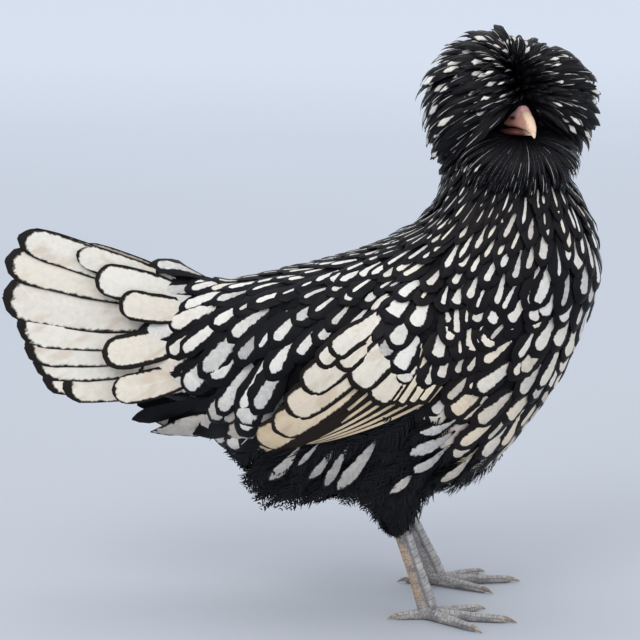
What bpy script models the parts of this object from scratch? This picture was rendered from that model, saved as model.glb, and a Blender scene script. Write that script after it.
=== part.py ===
"""A bearded crested hen, standing, life size, as a still model of one piece for each body part.

Metres, +Z up. The hen faces +X, and its head is turned to its right, towards -Y.
The origin is on the floor, under the middle of the model's box.
"""

import math
import random

import bmesh
import bpy
from mathutils import Matrix, Quaternion, Vector
from mathutils.bvhtree import BVHTree

MM = 0.001

# Space between pieces that touch
JOINT_GAP = 0.35 * MM

# Trunk sections from the rump to the top of the neck, in millimetres: the back's x and z,
# the belly's or breast's x and z, and half the width
TRUNK_SECTIONS = (
    (-101, 182, -101, 160, 9),
    (-92, 196, -92, 144, 21),
    (-77, 212, -74, 121, 33),
    (-52, 221, -44, 92, 47),
    (-19, 228, -4, 77, 58),
    (14, 236, 42, 73, 65),
    (42, 246, 88, 80, 67),
    (60, 255, 129, 105, 66),
    (70, 264, 162, 148, 63),
    (74, 271, 182, 198, 57),
    (76, 278, 182, 242, 50),
    (78, 286, 171, 269, 44),
    (82, 297, 160, 289, 39),
    (87, 311, 154, 311, 35),
)
TRUNK_STEPS = 2
TRUNK_SIDES = 22
TRUNK_FULLNESS = 2.15

# The cut between torso and neck, and the level cut between neck and head
NECK_CUT_POINT = Vector((126, 0, 249)) * MM
NECK_CUT_NORMAL = Vector((0.219, 0, 0.976)).normalized()
HEAD_CUT_Z = 300 * MM

# The head's own frame: forward along the bill, left, and up, about the skull's centre
SKULL_CENTRE = Vector((121.5, -10, 324)) * MM
HEAD_TURN = math.radians(-73)
HEAD_NOD = math.radians(-1)

# Skull sections: forward, half width, half height and middle height
SKULL_SECTIONS = (
    (-24, 3, 3, 1),
    (-20, 10, 10.5, 1),
    (-12, 15, 16, 1),
    (-1, 17, 18, 1),
    (9, 15, 16, 0),
    (16, 11.5, 12.5, -1),
    (19.5, 8.6, 10.4, -1.4),
)
# The throat widens into the neck's feathers: forward, left, height, half length and half width
THROAT_SECTIONS = (
    (4, 0, -4, 11, 11),
    (0, 1, -11, 15, 15.5),
    (-8, 3.5, -17, 23, 25),
    (-10, 5, -21, 29, 31),
    (-9, 6, -27, 34, 35),
)

# Bill sections: forward, half width, top and bottom
UPPER_BILL = (
    (19.9, 8.2, 7.6, -4.7),
    (25, 7.8, 8.6, -4.8),
    (30, 6.7, 6.2, -5.0),
    (36, 4.9, 3.0, -5.5),
    (41, 3.0, -1.4, -6.2),
    (44.5, 1.5, -5.4, -7.6),
    (46.2, 0.4, -8.4, -9.2),
)
LOWER_BILL = (
    (19.9, 7.6, -5.1, -10.8),
    (26, 6.7, -5.2, -10.8),
    (33, 5.0, -5.7, -10.0),
    (39, 2.7, -6.5, -8.9),
    (41.6, 0.9, -7.2, -8.3),
)
NOSTRIL_RADIUS = 1.5 * MM
NOSTRIL_PLACE = Vector((25.5, 7.4, 3.2)) * MM

EYE_RADIUS = 5.4 * MM
EYE_PLACE = Vector((8.5, 12.6, 5)) * MM
LID_THICKNESS = 0.9 * MM
EAR_RADIUS = 2.4 * MM
EAR_PLACE = Vector((-5, 16.2, -4)) * MM

# The crest's ball in the head's frame, how much deeper its lower half hangs, and the slanting cut under it
# that parts it from the beard
CREST_CENTRE = Vector((-9, 3, 10)) * MM
CREST_RADII = Vector((51, 57, 48)) * MM
CREST_CORE_CENTRE = Vector((-13, 0, 11)) * MM
CREST_CORE_RADII = Vector((23, 24, 21)) * MM
CREST_HANG = 1.3
CREST_WHORL = Vector((0.74, -0.06, 0.67)).normalized()
CREST_ROW_GAP = math.radians(22)
CREST_BESIDE = math.radians(23)
CREST_SWEEP = math.radians(42)
CREST_BLADE = 18 * MM
CREST_CUT_POINT = Vector((0, 0, -18.3)) * MM
CREST_CUT_NORMAL = Vector((-0.31, 0, 0.95)).normalized()
FACE_START = Vector((12, 0, -1)) * MM
FACE_HALF_ANGLE = math.radians(23)
FACE_CLEAR = math.radians(10)
NAPE_BACK = -10 * MM
CREST_LOW = -46 * MM

BEARD_CENTRE = Vector((11, 1, -27)) * MM
BEARD_RADII = Vector((33, 40, 30)) * MM
BEARD_HANG = 1.0
BEARD_CORE_CENTRE = Vector((12, 0, -17)) * MM
BEARD_CORE_RADII = Vector((14, 20, 11)) * MM
BEARD_WHORL = Vector((0.55, 0, 0.83)).normalized()
BEARD_ROW_GAP = math.radians(21)
BEARD_BESIDE = math.radians(22)
BEARD_SWEEP = math.radians(50)
BEARD_BLADE = 14 * MM

# How a blade's half width changes from its root to its tip, and the step between blades side by side,
# each of which is turned so that it lies under one neighbour and over the other
PLUME_STEPS = (0.0, 0.4, 0.77, 1.0)
PLUME_SHAPE = (0.15, 0.66, 1.0, 0.30)
BLADE_STEPS = (0.0, 0.35, 0.7, 0.92, 1.0)
BLADE_SHAPE = (0.4, 0.85, 1.0, 0.84, 0.4)
COVERT_STEPS = (0.0, 0.5, 0.86, 1.0)
COVERT_SHAPE = (0.45, 0.95, 0.92, 0.4)
COVERT_LENGTH = 56
BLADE_THICKNESS = 0.9 * MM
BLADE_CURL = 0.07
BLADE_STEP_UP = 1.5 * MM

# The wing lies on the torso, within a larger ellipsoid. Its rows of feathers are in millimetres, as x and
# z at the first feather's root and tip, the last feather's root and tip, how many, how wide and how deep.
WING_CENTRE = Vector((45, 0, 165)) * MM
WING_RADII = Vector((152, 80, 97)) * MM
WING_CORE_OUTLINE = (
    (94, 206), (94, 180), (86, 162), (70, 149), (48, 146), (34, 158), (30, 176), (22, 196), (34, 222),
    (58, 236), (80, 228),
)
WING_CORE_DEPTH = 5.6 * MM
WING_ROOT_DEPTH = 8.2 * MM
WING_ROWS = (
    ((68, 152), (14, 130), (66, 162), (-32, 118), 4, 12, 9.2),
    ((64, 164), (-46, 120), (57, 176), (-28, 130), 3, 22, 7.0),
    ((54, 180), (-17, 139), (38, 200), (2, 186), 4, 20, 6.2),
    ((80, 172), (58, 150), (66, 182), (35, 153), 3, 16, 4.4),
    ((60, 186), (22, 163), (42, 208), (4, 184), 3, 18, 4.0),
    ((86, 188), (62, 167), (56, 224), (12, 198), 4, 18, 2.3),
    ((88, 208), (70, 184), (66, 230), (30, 212), 3, 18, 0.9),
)

# The tail's two sides lean together like a tent. Rows as for the wing, the depth here outwards from the
# tent, which stands out from the middle by these amounts at its ridge's height and per height below it.
TAIL_RIDGE_Z = 252 * MM
TAIL_RIDGE_OUT = 1.5 * MM
TAIL_FLARE = 0.30
TAIL_ROWS = (
    ((-80, 210), (-195, 239), (-80, 202), (-197, 226), 2, 25, 0.0),
    ((-80, 190), (-201, 209), (-80, 150), (-173, 154), 5, 27, -0.6),
    ((-80, 210), (-120, 222), (-80, 202), (-142, 214), 2, 22, 2.0),
    ((-80, 192), (-130, 196), (-80, 156), (-128, 148), 3, 26, 1.8),
    ((-86, 146), (-124, 132), (-84, 142), (-106, 126), 2, 12, -4.0),
)
TAIL_ROOT_DEPTH = 4 * MM
TAIL_CORE_SECTIONS = (
    (-66, 212, 132, 7, 24),
    (-94, 219, 137, 6, 27),
    (-116, 220, 154, 3, 20),
)
# Feathers along the ridge, facing up: root, tip and width
TAIL_RIDGE = (((-84, 210), (-190, 246), 15), ((-82, 212), (-140, 236), 17), ((-80, 213), (-108, 226), 18))

# Legs: how far out each stands, and the points along thigh and shank
LEG_OUT = {"right": 38 * MM, "left": 42 * MM}
THIGH_SECTIONS = ((40, 118, 30, 20), (46, 96, 27, 19), (48, 78, 19, 16), (50, 66, 11, 11), (51, 58, 8.2, 8.2))
HOCK = Vector((47, 0, 76)) * MM
ANKLE = Vector((69, 0, 9)) * MM
SHANK_DEPTH = 6.4 * MM
SHANK_WIDTH = 5.4 * MM
SCUTE_COUNT = 8
SCUTE_STEP = 0.5 * MM
FOOT_SHIFT = {"right": 0.0, "left": 9 * MM}
# Each toe: direction from straight ahead, in degrees towards the outside, length and half width
TOES = ((4, 50, 4.1), (-34, 37, 3.8), (38, 39, 3.7), (168, 19, 3.2))
TOE_TURN = {"right": 6, "left": 2}
TOE_HEIGHT = 7.6 * MM
CLAW_LENGTH = 11 * MM

BLACK = (0.012, 0.012, 0.016, 1)
SILVER = (0.72, 0.70, 0.66, 1)
HORN = (0.62, 0.42, 0.34, 1)
SLATE = (0.30, 0.29, 0.29, 1)
IRIS = (0.25, 0.05, 0.02, 1)


def clear_scene():
    for obj in list(bpy.data.objects):
        bpy.data.objects.remove(obj)


def finish(name, colour, roughness):
    made = bpy.data.materials.new(name)
    made.use_nodes = True
    shader = made.node_tree.nodes["Principled BSDF"]
    shader.inputs["Base Color"].default_value = colour
    shader.inputs["Roughness"].default_value = roughness
    shader.inputs["Metallic"].default_value = 0.0
    return made


def between(stations, steps):
    """Catmull-Rom values between rows of numbers, with the given steps to each row."""
    rows = [Vector(row) for row in stations]
    rows = [rows[0] * 2 - rows[1], *rows, rows[-1] * 2 - rows[-2]]
    smooth = []
    for i in range(1, len(rows) - 2):
        a, b, c, d = rows[i - 1 : i + 3]
        for k in range(steps):
            t = k / steps
            smooth.append(
                0.5 * (2 * b + (c - a) * t + (2 * a - 5 * b + 4 * c - d) * t**2 + (3 * b - a - 3 * c + d) * t**3)
            )
    return [*smooth, rows[-2]]


def new_object(name, mesh, material=None):
    obj = bpy.data.objects.new(name, mesh)
    bpy.context.scene.collection.objects.link(obj)
    if material:
        mesh.materials.clear()
        mesh.materials.append(material)
    return obj


def loft(name, rings, material=None):
    """A closed solid through rings of equally many points, split into triangles the same way all round."""
    bm = bmesh.new()
    placed = [[bm.verts.new(point) for point in ring] for ring in rings]
    sides = len(rings[0])
    for near, far in zip(placed, placed[1:]):
        for i in range(sides):
            j = (i + 1) % sides
            bm.faces.new((near[i], near[j], far[j]))
            bm.faces.new((near[i], far[j], far[i]))
    bm.faces.new(list(reversed(placed[0])))
    bm.faces.new(placed[-1])
    bmesh.ops.triangulate(bm, faces=[face for face in bm.faces if len(face.verts) > 3])
    bmesh.ops.recalc_face_normals(bm, faces=bm.faces)
    mesh = bpy.data.meshes.new(name)
    bm.to_mesh(mesh)
    bm.free()
    return new_object(name, mesh, material)


def oval(centre, across, up, sides, fullness=2.0):
    """A ring about centre, with half axes across and up as vectors."""
    ring = []
    for i in range(sides):
        turn = 2 * math.pi * i / sides
        c, s = math.cos(turn), math.sin(turn)
        cx = math.copysign(abs(c) ** (2 / fullness), c)
        sx = math.copysign(abs(s) ** (2 / fullness), s)
        ring.append(centre + across * cx + up * sx)
    return ring


def copy_of(obj, name, grow=0.0):
    """A copy with its modifiers applied, its surface moved out by grow."""
    bpy.context.view_layer.update()
    evaluated = obj.evaluated_get(bpy.context.evaluated_depsgraph_get())
    mesh = bpy.data.meshes.new_from_object(evaluated)
    mesh.transform(obj.matrix_world)
    bm = bmesh.new()
    bm.from_mesh(mesh)
    bm.normal_update()
    for vert in bm.verts:
        vert.co += vert.normal * grow
    bm.to_mesh(mesh)
    bm.free()
    return new_object(name, mesh)


def boolean(obj, other, operation, solver="EXACT"):
    """Joins other to obj, cuts it away or keeps what both hold, applies that, and removes other."""
    modifier = obj.modifiers.new("shape", "BOOLEAN")
    modifier.operation = operation
    modifier.solver = solver
    modifier.object = other
    bpy.context.view_layer.update()
    evaluated = obj.evaluated_get(bpy.context.evaluated_depsgraph_get())
    mesh = bpy.data.meshes.new_from_object(evaluated)
    materials = list(obj.data.materials)
    obj.modifiers.clear()
    obj.data = mesh
    mesh.materials.clear()
    for material in materials:
        mesh.materials.append(material)
    bpy.data.objects.remove(other)


def cut_beyond(obj, point, normal):
    """Cuts away what lies beyond a plane on the normal's side, for shapes whose cut has many loops."""
    reach = 400 * MM
    across = normal.orthogonal().normalized() * reach
    up = normal.cross(across).normalized() * reach
    rings = [oval(point + normal * far, across, up, 4) for far in (0.0, reach)]
    boolean(obj, loft("beyond", rings), "DIFFERENCE", "MANIFOLD")


def keep_side(obj, point, normal):
    """Cuts obj by a plane, keeps what lies on the normal's side and closes the cut."""
    bm = bmesh.new()
    bm.from_mesh(obj.data)
    bmesh.ops.bisect_plane(
        bm, geom=bm.verts[:] + bm.edges[:] + bm.faces[:], plane_co=point, plane_no=normal, clear_inner=True
    )
    rim = [edge for edge in bm.edges if edge.is_boundary]
    bmesh.ops.holes_fill(bm, edges=rim, sides=0)
    bmesh.ops.triangulate(bm, faces=[face for face in bm.faces if len(face.verts) > 3])
    bmesh.ops.recalc_face_normals(bm, faces=bm.faces)
    bm.to_mesh(obj.data)
    bm.free()


def keep_largest(obj):
    """Keeps the closed surface that holds the most volume."""
    bm = bmesh.new()
    bm.from_mesh(obj.data)
    left, pieces = set(bm.verts), []
    while left:
        found, front = set(), [left.pop()]
        while front:
            vert = front.pop()
            found.add(vert)
            for edge in vert.link_edges:
                other = edge.other_vert(vert)
                if other in left:
                    left.discard(other)
                    front.append(other)
        pieces.append(found)

    def volume(verts):
        faces = {face for vert in verts for face in vert.link_faces}
        total = 0.0
        for face in faces:
            a, *rest = [vert.co for vert in face.verts]
            total += sum(a.dot(b.cross(c)) for b, c in zip(rest, rest[1:]))
        return total

    best = max(pieces, key=volume)
    bmesh.ops.delete(bm, geom=[vert for vert in bm.verts if vert not in best], context="VERTS")
    bm.to_mesh(obj.data)
    bm.free()


def shade(obj):
    obj.data.shade_smooth()
    obj.data.set_sharp_from_angle(angle=math.radians(40))


def head_frame():
    turn = Matrix.Rotation(HEAD_TURN, 4, "Z") @ Matrix.Rotation(HEAD_NOD, 4, "Y")
    return Matrix.Translation(SKULL_CENTRE) @ turn


def ball(name, centre, radii, segments=28, rings=18, material=None):
    bm = bmesh.new()
    bmesh.ops.create_uvsphere(bm, u_segments=segments, v_segments=rings, radius=1.0)
    for vert in bm.verts:
        vert.co = centre + Vector(a * b for a, b in zip(vert.co, radii))
    bmesh.ops.triangulate(bm, faces=bm.faces)
    mesh = bpy.data.meshes.new(name)
    bm.to_mesh(mesh)
    bm.free()
    return new_object(name, mesh, material)


def slab(name, outline, low_y, high_y):
    """A flat outline of x and z, in metres, carried from low_y to high_y."""
    rings = [[Vector((x, y, z)) for x, z in outline] for y in (low_y, high_y)]
    return loft(name, rings)


def make_trunk():
    rings = []
    for back_x, back_z, front_x, front_z, half in between(TRUNK_SECTIONS, TRUNK_STEPS):
        back = Vector((back_x, 0, back_z)) * MM
        front = Vector((front_x, 0, front_z)) * MM
        rings.append(
            oval((back + front) / 2, Vector((0, half * MM, 0)), (back - front) / 2, TRUNK_SIDES, TRUNK_FULLNESS)
        )
    return rings


def make_torso_and_neck(plumage):
    rings = make_trunk()
    torso = loft("torso", rings, plumage)
    keep_side(torso, NECK_CUT_POINT, -NECK_CUT_NORMAL)
    neck = loft("neck", rings, plumage)
    keep_side(neck, NECK_CUT_POINT + NECK_CUT_NORMAL * JOINT_GAP, NECK_CUT_NORMAL)
    keep_side(neck, Vector((0, 0, HEAD_CUT_Z)), Vector((0, 0, -1)))
    return torso, neck


def make_head(plumage, head):
    rings = []
    for forward, half, tall, middle in between(SKULL_SECTIONS, 2):
        centre = Vector((forward, 0, middle)) * MM
        rings.append(oval(centre, Vector((0, half * MM, 0)), Vector((0, 0, tall * MM)), 14))
    skull = loft("head", rings, plumage)
    rings = []
    for forward, left, high, long, wide in THROAT_SECTIONS:
        centre = Vector((forward, left, high)) * MM
        rings.append(oval(centre, Vector((long * MM, 0, 0)), Vector((0, wide * MM, 0)), 14))
    boolean(skull, loft("throat", rings), "UNION")
    for side in (-1, 1):
        place = Vector((EYE_PLACE.x, EYE_PLACE.y * side, EYE_PLACE.z))
        out = place + Vector((0, EYE_RADIUS * 0.42 * side, 0))
        bpy.ops.mesh.primitive_torus_add(
            major_radius=EYE_RADIUS * 0.86,
            minor_radius=LID_THICKNESS,
            major_segments=12,
            minor_segments=4,
            location=out,
            rotation=(math.radians(90), 0, 0),
        )
        lid = bpy.context.object
        rim = copy_of(lid, "lid")
        bpy.data.objects.remove(lid)
        boolean(skull, rim, "UNION")
        socket = ball("socket", place, Vector((1, 1, 1)) * (EYE_RADIUS + JOINT_GAP), 12, 7)
        boolean(skull, socket, "DIFFERENCE")
        ear = Vector((EAR_PLACE.x, EAR_PLACE.y * side, EAR_PLACE.z))
        boolean(skull, ball("ear", ear, Vector((1.3, 0.6, 1)) * EAR_RADIUS, 8, 5), "DIFFERENCE")
    slit = [oval(Vector((x, 0, -4.9)) * MM, Vector((0, 14 * MM, 0)), Vector((0, 0, 0.45 * MM)), 4) for x in (14.5, 21)]
    boolean(skull, loft("mouth", slit), "DIFFERENCE")
    skull.data.transform(head)
    keep_side(skull, Vector((0, 0, HEAD_CUT_Z + JOINT_GAP)), Vector((0, 0, 1)))
    keep_largest(skull)
    return skull


def bill_half(name, sections, head, material):
    rings = []
    for forward, half, top, bottom in between(sections, 2):
        centre = Vector((forward, 0, (top + bottom) / 2)) * MM
        rings.append(oval(centre, Vector((0, half * MM, 0)), Vector((0, 0, (top - bottom) / 2 * MM)), 12, 2.3))
    half_bill = loft(name, rings, material)
    if name == "beak_upper":
        for side in (-1, 1):
            place = Vector((NOSTRIL_PLACE.x, NOSTRIL_PLACE.y * side, NOSTRIL_PLACE.z))
            hole = ball("nostril", place, Vector((1.9, 1.2, 0.8)) * NOSTRIL_RADIUS, 8, 5)
            boolean(half_bill, hole, "DIFFERENCE")
    half_bill.data.transform(head)
    return half_bill


def make_eyes(head, material):
    eyes = []
    for name, side in (("eye_right", -1), ("eye_left", 1)):
        place = Vector((EYE_PLACE.x, EYE_PLACE.y * side, EYE_PLACE.z))
        eye = ball(name, place, Vector((1, 1, 1)) * EYE_RADIUS, 12, 7, material)
        eye.data.transform(head)
        eyes.append(eye)
    return eyes


def face_cone(head):
    """The space in front of the face that crest and beard leave free, round the bill."""
    reach, wide = 90 * MM, 90 * MM * math.tan(FACE_HALF_ANGLE)
    rings = []
    for share in (0.05, 1.0):
        centre = FACE_START + Vector((reach * share, 0, -2 * MM * share))
        rings.append(oval(centre, Vector((0, wide * share, 0)), Vector((0, 0, wide * share * 0.8)), 16))
    cone = loft("face", rings)
    cone.data.transform(head)
    return cone


def clear_of(obj, neighbours):
    """Cuts obj back from each neighbour by the joint's gap."""
    for other in neighbours:
        boolean(obj, copy_of(other, "grown", JOINT_GAP), "DIFFERENCE", "MANIFOLD")
    keep_largest(obj)


def vane(centres, faces, half_widths, turns, curl=BLADE_CURL):
    """A feather's blade along centres, facing faces, thickest along its middle and split alike on both sides."""
    bm = bmesh.new()
    rings = []
    last = len(centres) - 1
    for i, centre in enumerate(centres):
        along = centres[min(i + 1, last)] - centres[max(i - 1, 0)]
        across = along.cross(faces[i]).normalized()
        face = across.cross(along).normalized()
        across.rotate(Quaternion(along, -turns[i]))
        face.rotate(Quaternion(along, -turns[i]))
        half = half_widths[i]
        deep = BLADE_THICKNESS / 2 * min(1.0, 0.35 + half / (6 * MM))
        edge = centre - face * (half * curl)
        ring = (edge - across * half, centre + face * deep, edge + across * half, centre - face * deep)
        rings.append([bm.verts.new(point) for point in ring])
    for (a, b, c, d), (e, f, g, h) in zip(rings, rings[1:]):
        for corners in ((a, b, f), (a, f, e), (a, h, d), (a, e, h), (c, f, b), (c, g, f), (c, d, h), (c, h, g)):
            bm.faces.new(corners)
    for a, b, c, d in (rings[0], rings[-1]):
        bm.faces.new((a, b, d))
        bm.faces.new((c, d, b))
    bmesh.ops.recalc_face_normals(bm, faces=bm.faces)
    mesh = bpy.data.meshes.new("vane")
    bm.to_mesh(mesh)
    bm.free()
    return new_object("vane", mesh)


def rows_about(whorl, row_gap, beside):
    """Directions in staggered rings about a whorl, each with how many its ring holds."""
    axis = whorl.cross(Vector((0, 1, 0))).normalized()
    for row in range(1, int(math.pi / row_gap) + 1):
        far = (row - 0.4) * row_gap
        count = max(5, round(2 * math.pi * math.sin(far) / beside))
        for i in range(count):
            turn = 2 * math.pi * (i + 0.5 * (row % 2)) / count
            yield Matrix.Rotation(turn, 3, whorl) @ (Matrix.Rotation(far, 3, axis) @ whorl), count


def scaled(direction, radii):
    return Vector(a * b for a, b in zip(direction, radii))


def on_globe(globe, way):
    """The point on a globe in one direction, its lower half drawn down by the globe's last number."""
    centre, radii, hang = globe
    off = scaled(way, radii)
    if way.z < 0:
        off.z *= hang
    return centre + off


def side_surface(obj):
    """The surface of obj without what faces up, as feathers that hang over its rim meet it."""
    bm = bmesh.new()
    bm.from_mesh(obj.data)
    bm.normal_update()
    bmesh.ops.delete(bm, geom=[face for face in bm.faces if face.normal.z > 0.7], context="FACES")
    tree = BVHTree.FromBMesh(bm)
    bm.free()
    return tree


def lie_over(point, sides, lift):
    """Moves a point that is below the neck's rim out to lift above the neck's side."""
    if point.z > HEAD_CUT_Z + 3 * MM:
        return point
    spot, normal, _, _ = sides.find_nearest(point)
    height = (point - spot).dot(normal)
    return point + normal * max(0.0, lift - height)


def globe_feathers(head, tips, globe, core, whorl, sweep, width, sides, draw):
    """Feathers from a core to the tips on a globe, each running away from the whorl."""
    feathers = []
    for tip, count in tips:
        far = whorl.angle(tip)
        swing = min(sweep, 0.85 * far)
        axis = tip.cross(whorl).normalized()
        reach = draw.uniform(0.985, 1.005)
        centres, faces, halves, turns = [], [], [], []
        for step, shape in zip(PLUME_STEPS, PLUME_SHAPE):
            way = Matrix.Rotation(swing * (1 - step), 3, axis) @ tip
            start = core[0] + scaled(way, core[1]) * 0.72
            end = globe[0] + (on_globe(globe, way) - globe[0]) * reach
            local = start.lerp(end, step**0.6)
            beside = 2 * math.pi * math.sin(far - swing * (1 - step)) * (local - core[0]).length / count
            centre = lie_over(head @ local, sides, 1.6 * MM)
            centres.append(centre)
            faces.append(head.to_3x3() @ way)
            room = max(0.6 * MM, beside - 1.5 * MM)
            halves.append(min(width / 2 * shape * draw.uniform(0.95, 1.05), room))
            turns.append(math.asin(min(0.6, BLADE_STEP_UP / beside)))
        feathers.append(vane(centres, faces, halves, turns))
    return feathers


def make_crest(head, plumage, neck, neighbours):
    globe, core = (CREST_CENTRE, CREST_RADII, CREST_HANG), (CREST_CORE_CENTRE, CREST_CORE_RADII)
    tips = []
    for way, count in rows_about(CREST_WHORL, CREST_ROW_GAP, CREST_BESIDE):
        for _ in range(12):
            tip = on_globe(globe, way)
            above = (tip - CREST_CUT_POINT).dot(CREST_CUT_NORMAL)
            if above > 2 * MM or tip.x < NAPE_BACK:
                break
            way = Quaternion(way.cross(CREST_WHORL), math.radians(1)) @ way
        beside = (tip - FACE_START).angle(Vector((1, 0, 0)))
        if (above > 2 * MM or tip.x < NAPE_BACK) and tip.z > CREST_LOW and beside > FACE_HALF_ANGLE + FACE_CLEAR:
            tips.append((way, count))
    crest = ball("crest", CREST_CORE_CENTRE, CREST_CORE_RADII, 8, 5, plumage)
    crest.data.transform(head)
    draw = random.Random(11)
    sides = side_surface(neck)
    union_all(crest, globe_feathers(head, tips, globe, core, CREST_WHORL, CREST_SWEEP, CREST_BLADE, sides, draw))
    slope = CREST_CUT_NORMAL.x / CREST_CUT_NORMAL.z
    under = [(x, CREST_CUT_POINT.z + JOINT_GAP - x * slope) for x in (NAPE_BACK, 90 * MM)]
    under += [(90 * MM, -120 * MM), (NAPE_BACK, -120 * MM)]
    below = slab("below", under, -120 * MM, 120 * MM)
    below.data.transform(head)
    boolean(crest, below, "DIFFERENCE", "MANIFOLD")
    boolean(crest, face_cone(head), "DIFFERENCE", "MANIFOLD")
    clear_of(crest, neighbours)
    return crest


def make_beard(head, plumage, neck, neighbours):
    globe, core = (BEARD_CENTRE, BEARD_RADII, BEARD_HANG), (BEARD_CORE_CENTRE, BEARD_CORE_RADII)
    sides = side_surface(neck)
    tips = []
    for way, count in rows_about(BEARD_WHORL, BEARD_ROW_GAP, BEARD_BESIDE):
        tip = on_globe(globe, way)
        below = (CREST_CUT_POINT - tip).dot(CREST_CUT_NORMAL)
        moved = (lie_over(head @ tip, sides, 0) - head @ tip).length
        if below > 1.5 * MM and way.x > -0.5 and moved < 5 * MM:
            tips.append((way, count))
    beard = ball("beard", BEARD_CORE_CENTRE, BEARD_CORE_RADII, 8, 5, plumage)
    beard.data.transform(head)
    draw = random.Random(23)
    union_all(beard, globe_feathers(head, tips, globe, core, BEARD_WHORL, BEARD_SWEEP, BEARD_BLADE, sides, draw))
    cut_beyond(beard, head @ CREST_CUT_POINT, head.to_3x3() @ CREST_CUT_NORMAL)
    clear_of(beard, neighbours)
    return beard


def row_feathers(row, place, side, draw):
    """One row of feathers between its first and last, each point put in place by place(x, z, deep, step)."""
    first_root, first_tip, last_root, last_tip, count, width, deep = row
    short = (Vector(first_tip) - Vector(first_root)).length < COVERT_LENGTH
    steps, shape = (COVERT_STEPS, COVERT_SHAPE) if short else (BLADE_STEPS, BLADE_SHAPE)
    beside = (Vector(last_tip) - Vector(first_tip)).length / (count - 1) * MM
    turn = math.asin(min(0.2, BLADE_STEP_UP / beside)) * side
    feathers = []
    for i in range(count):
        share = i / (count - 1)
        root = Vector(first_root).lerp(Vector(last_root), share)
        tip = Vector(first_tip).lerp(Vector(last_tip), share)
        tip += (tip - root) * draw.uniform(-0.02, 0.02)
        placed = [place(*(root.lerp(tip, step) * MM), deep * MM, step) for step in steps]
        halves = [width * MM / 2 * part * draw.uniform(0.97, 1.03) for part in shape]
        turns = [turn] * len(placed)
        feathers.append(vane([at for at, _ in placed], [face for _, face in placed], halves, turns))
    return feathers


def make_wing(name, side, torso, plumage):
    draw = random.Random(31)

    def place(x, z, deep, step):
        """The point at x and z on the wing's ellipsoid, moved in by deep, and the way it faces."""
        flat = ((x - WING_CENTRE.x) / WING_RADII.x) ** 2 + ((z - WING_CENTRE.z) / WING_RADII.z) ** 2
        at = Vector((x, side * WING_RADII.y * math.sqrt(max(0.05, 1 - flat)), z))
        off = at - WING_CENTRE
        face = Vector(a / b**2 for a, b in zip(off, WING_RADII)).normalized()
        sink = deep + max(0.0, WING_ROOT_DEPTH - deep) * (1 - step) ** 2.2
        return at - face * sink, face

    outline = [(x * MM, z * MM) for x, z in WING_CORE_OUTLINE]
    wing = slab(name, outline, 12 * MM * side, 120 * MM * side)
    wing.data.materials.append(plumage)
    inner = WING_RADII - Vector((1, 1, 1)) * WING_CORE_DEPTH
    boolean(wing, ball("arch", WING_CENTRE, inner, 24, 14), "INTERSECT", "MANIFOLD")
    feathers = []
    for row in WING_ROWS:
        feathers += row_feathers(row, place, side, draw)
    union_all(wing, feathers)
    clear_of(wing, [torso])
    return wing


def make_tail(torso, plumage):
    rings = []
    for x, top, foot, top_half, foot_half in TAIL_CORE_SECTIONS:
        half = ((0.0, top + 2), (top_half, top), (foot_half, foot), (foot_half * 0.5, foot - 3))
        ring = [Vector((x, y, z)) * MM for y, z in half]
        ring += [Vector((x, -y, z)) * MM for y, z in half[:0:-1]]
        rings.append(ring)
    tail = loft("tail", rings, plumage)
    lean = Vector((1, TAIL_FLARE)).normalized()
    feathers = []
    for side in (-1, 1):
        draw = random.Random(47)
        face = Vector((0, side * lean.x, lean.y))

        def place(x, z, deep, step):
            """The point at x and z on one side of the tent, moved out by deep, nearer the middle at its root."""
            out = TAIL_RIDGE_OUT + (TAIL_RIDGE_Z - z) * TAIL_FLARE
            out *= 0.55 + 0.45 * step**0.8
            sink = TAIL_ROOT_DEPTH * (1 - step) ** 3
            return Vector((x, side * out, z)) + face * (deep * step**0.4 - sink), face

        for row in TAIL_ROWS:
            feathers += row_feathers(row, place, side, draw)
    for root, tip, width in TAIL_RIDGE:
        start, end = Vector((root[0], 0, root[1])) * MM, Vector((tip[0], 0, tip[1])) * MM
        centres = [start.lerp(end, step) for step in BLADE_STEPS]
        halves = [width * MM / 2 * part for part in BLADE_SHAPE]
        feathers.append(vane(centres, [Vector((0, 0, 1))] * 5, halves, [0] * 5, curl=0.6))
    union_all(tail, feathers)
    clear_of(tail, [torso])
    return tail


def make_thigh(name, out, torso, plumage):
    rings = []
    for x, z, deep, wide in between(THIGH_SECTIONS, 2):
        centre = Vector((x * MM, out, z * MM))
        rings.append(oval(centre, Vector((deep * MM, 0, 0)), Vector((0, wide * MM, 0)), 14))
    thigh = loft(name, rings, plumage)
    clear_of(thigh, [torso])
    return thigh


def shank_rings(shift, out):
    """Rings down the shank, each scute a low step on the front."""
    top, foot = HOCK + Vector((0, out, 0)), ANKLE + Vector((shift, out, 0))
    along = (foot - top).normalized()
    front = Vector((along.z, 0, -along.x)).normalized() * -1
    rings = []
    for k in range(SCUTE_COUNT):
        for share, step in ((0.0, SCUTE_STEP), (0.85, 0.0)):
            t = (k + share) / SCUTE_COUNT
            centre = top.lerp(foot, t)
            deep = SHANK_DEPTH + step
            rings.append(oval(centre + front * step / 2, front * deep, Vector((0, SHANK_WIDTH + step / 2, 0)), 10, 2.3))
    flat = Vector((foot.x, foot.y, 0))
    rings.append(oval(foot, Vector((SHANK_DEPTH * 1.05, 0, 0)), Vector((0, SHANK_WIDTH * 1.15, 0)), 10, 2.3))
    rings.append(oval(flat, Vector((SHANK_DEPTH * 1.1, 0, 0)), Vector((0, SHANK_WIDTH * 1.2, 0)), 10, 2.3))
    return rings


# Half of a toe's section, as shares of its half width and height, from the middle of the sole round to the top
TOE_HALF = ((0.0, 0.0), (0.66, 0.0), (1.0, 0.36), (0.72, 0.84), (0.0, 1.0))


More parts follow.
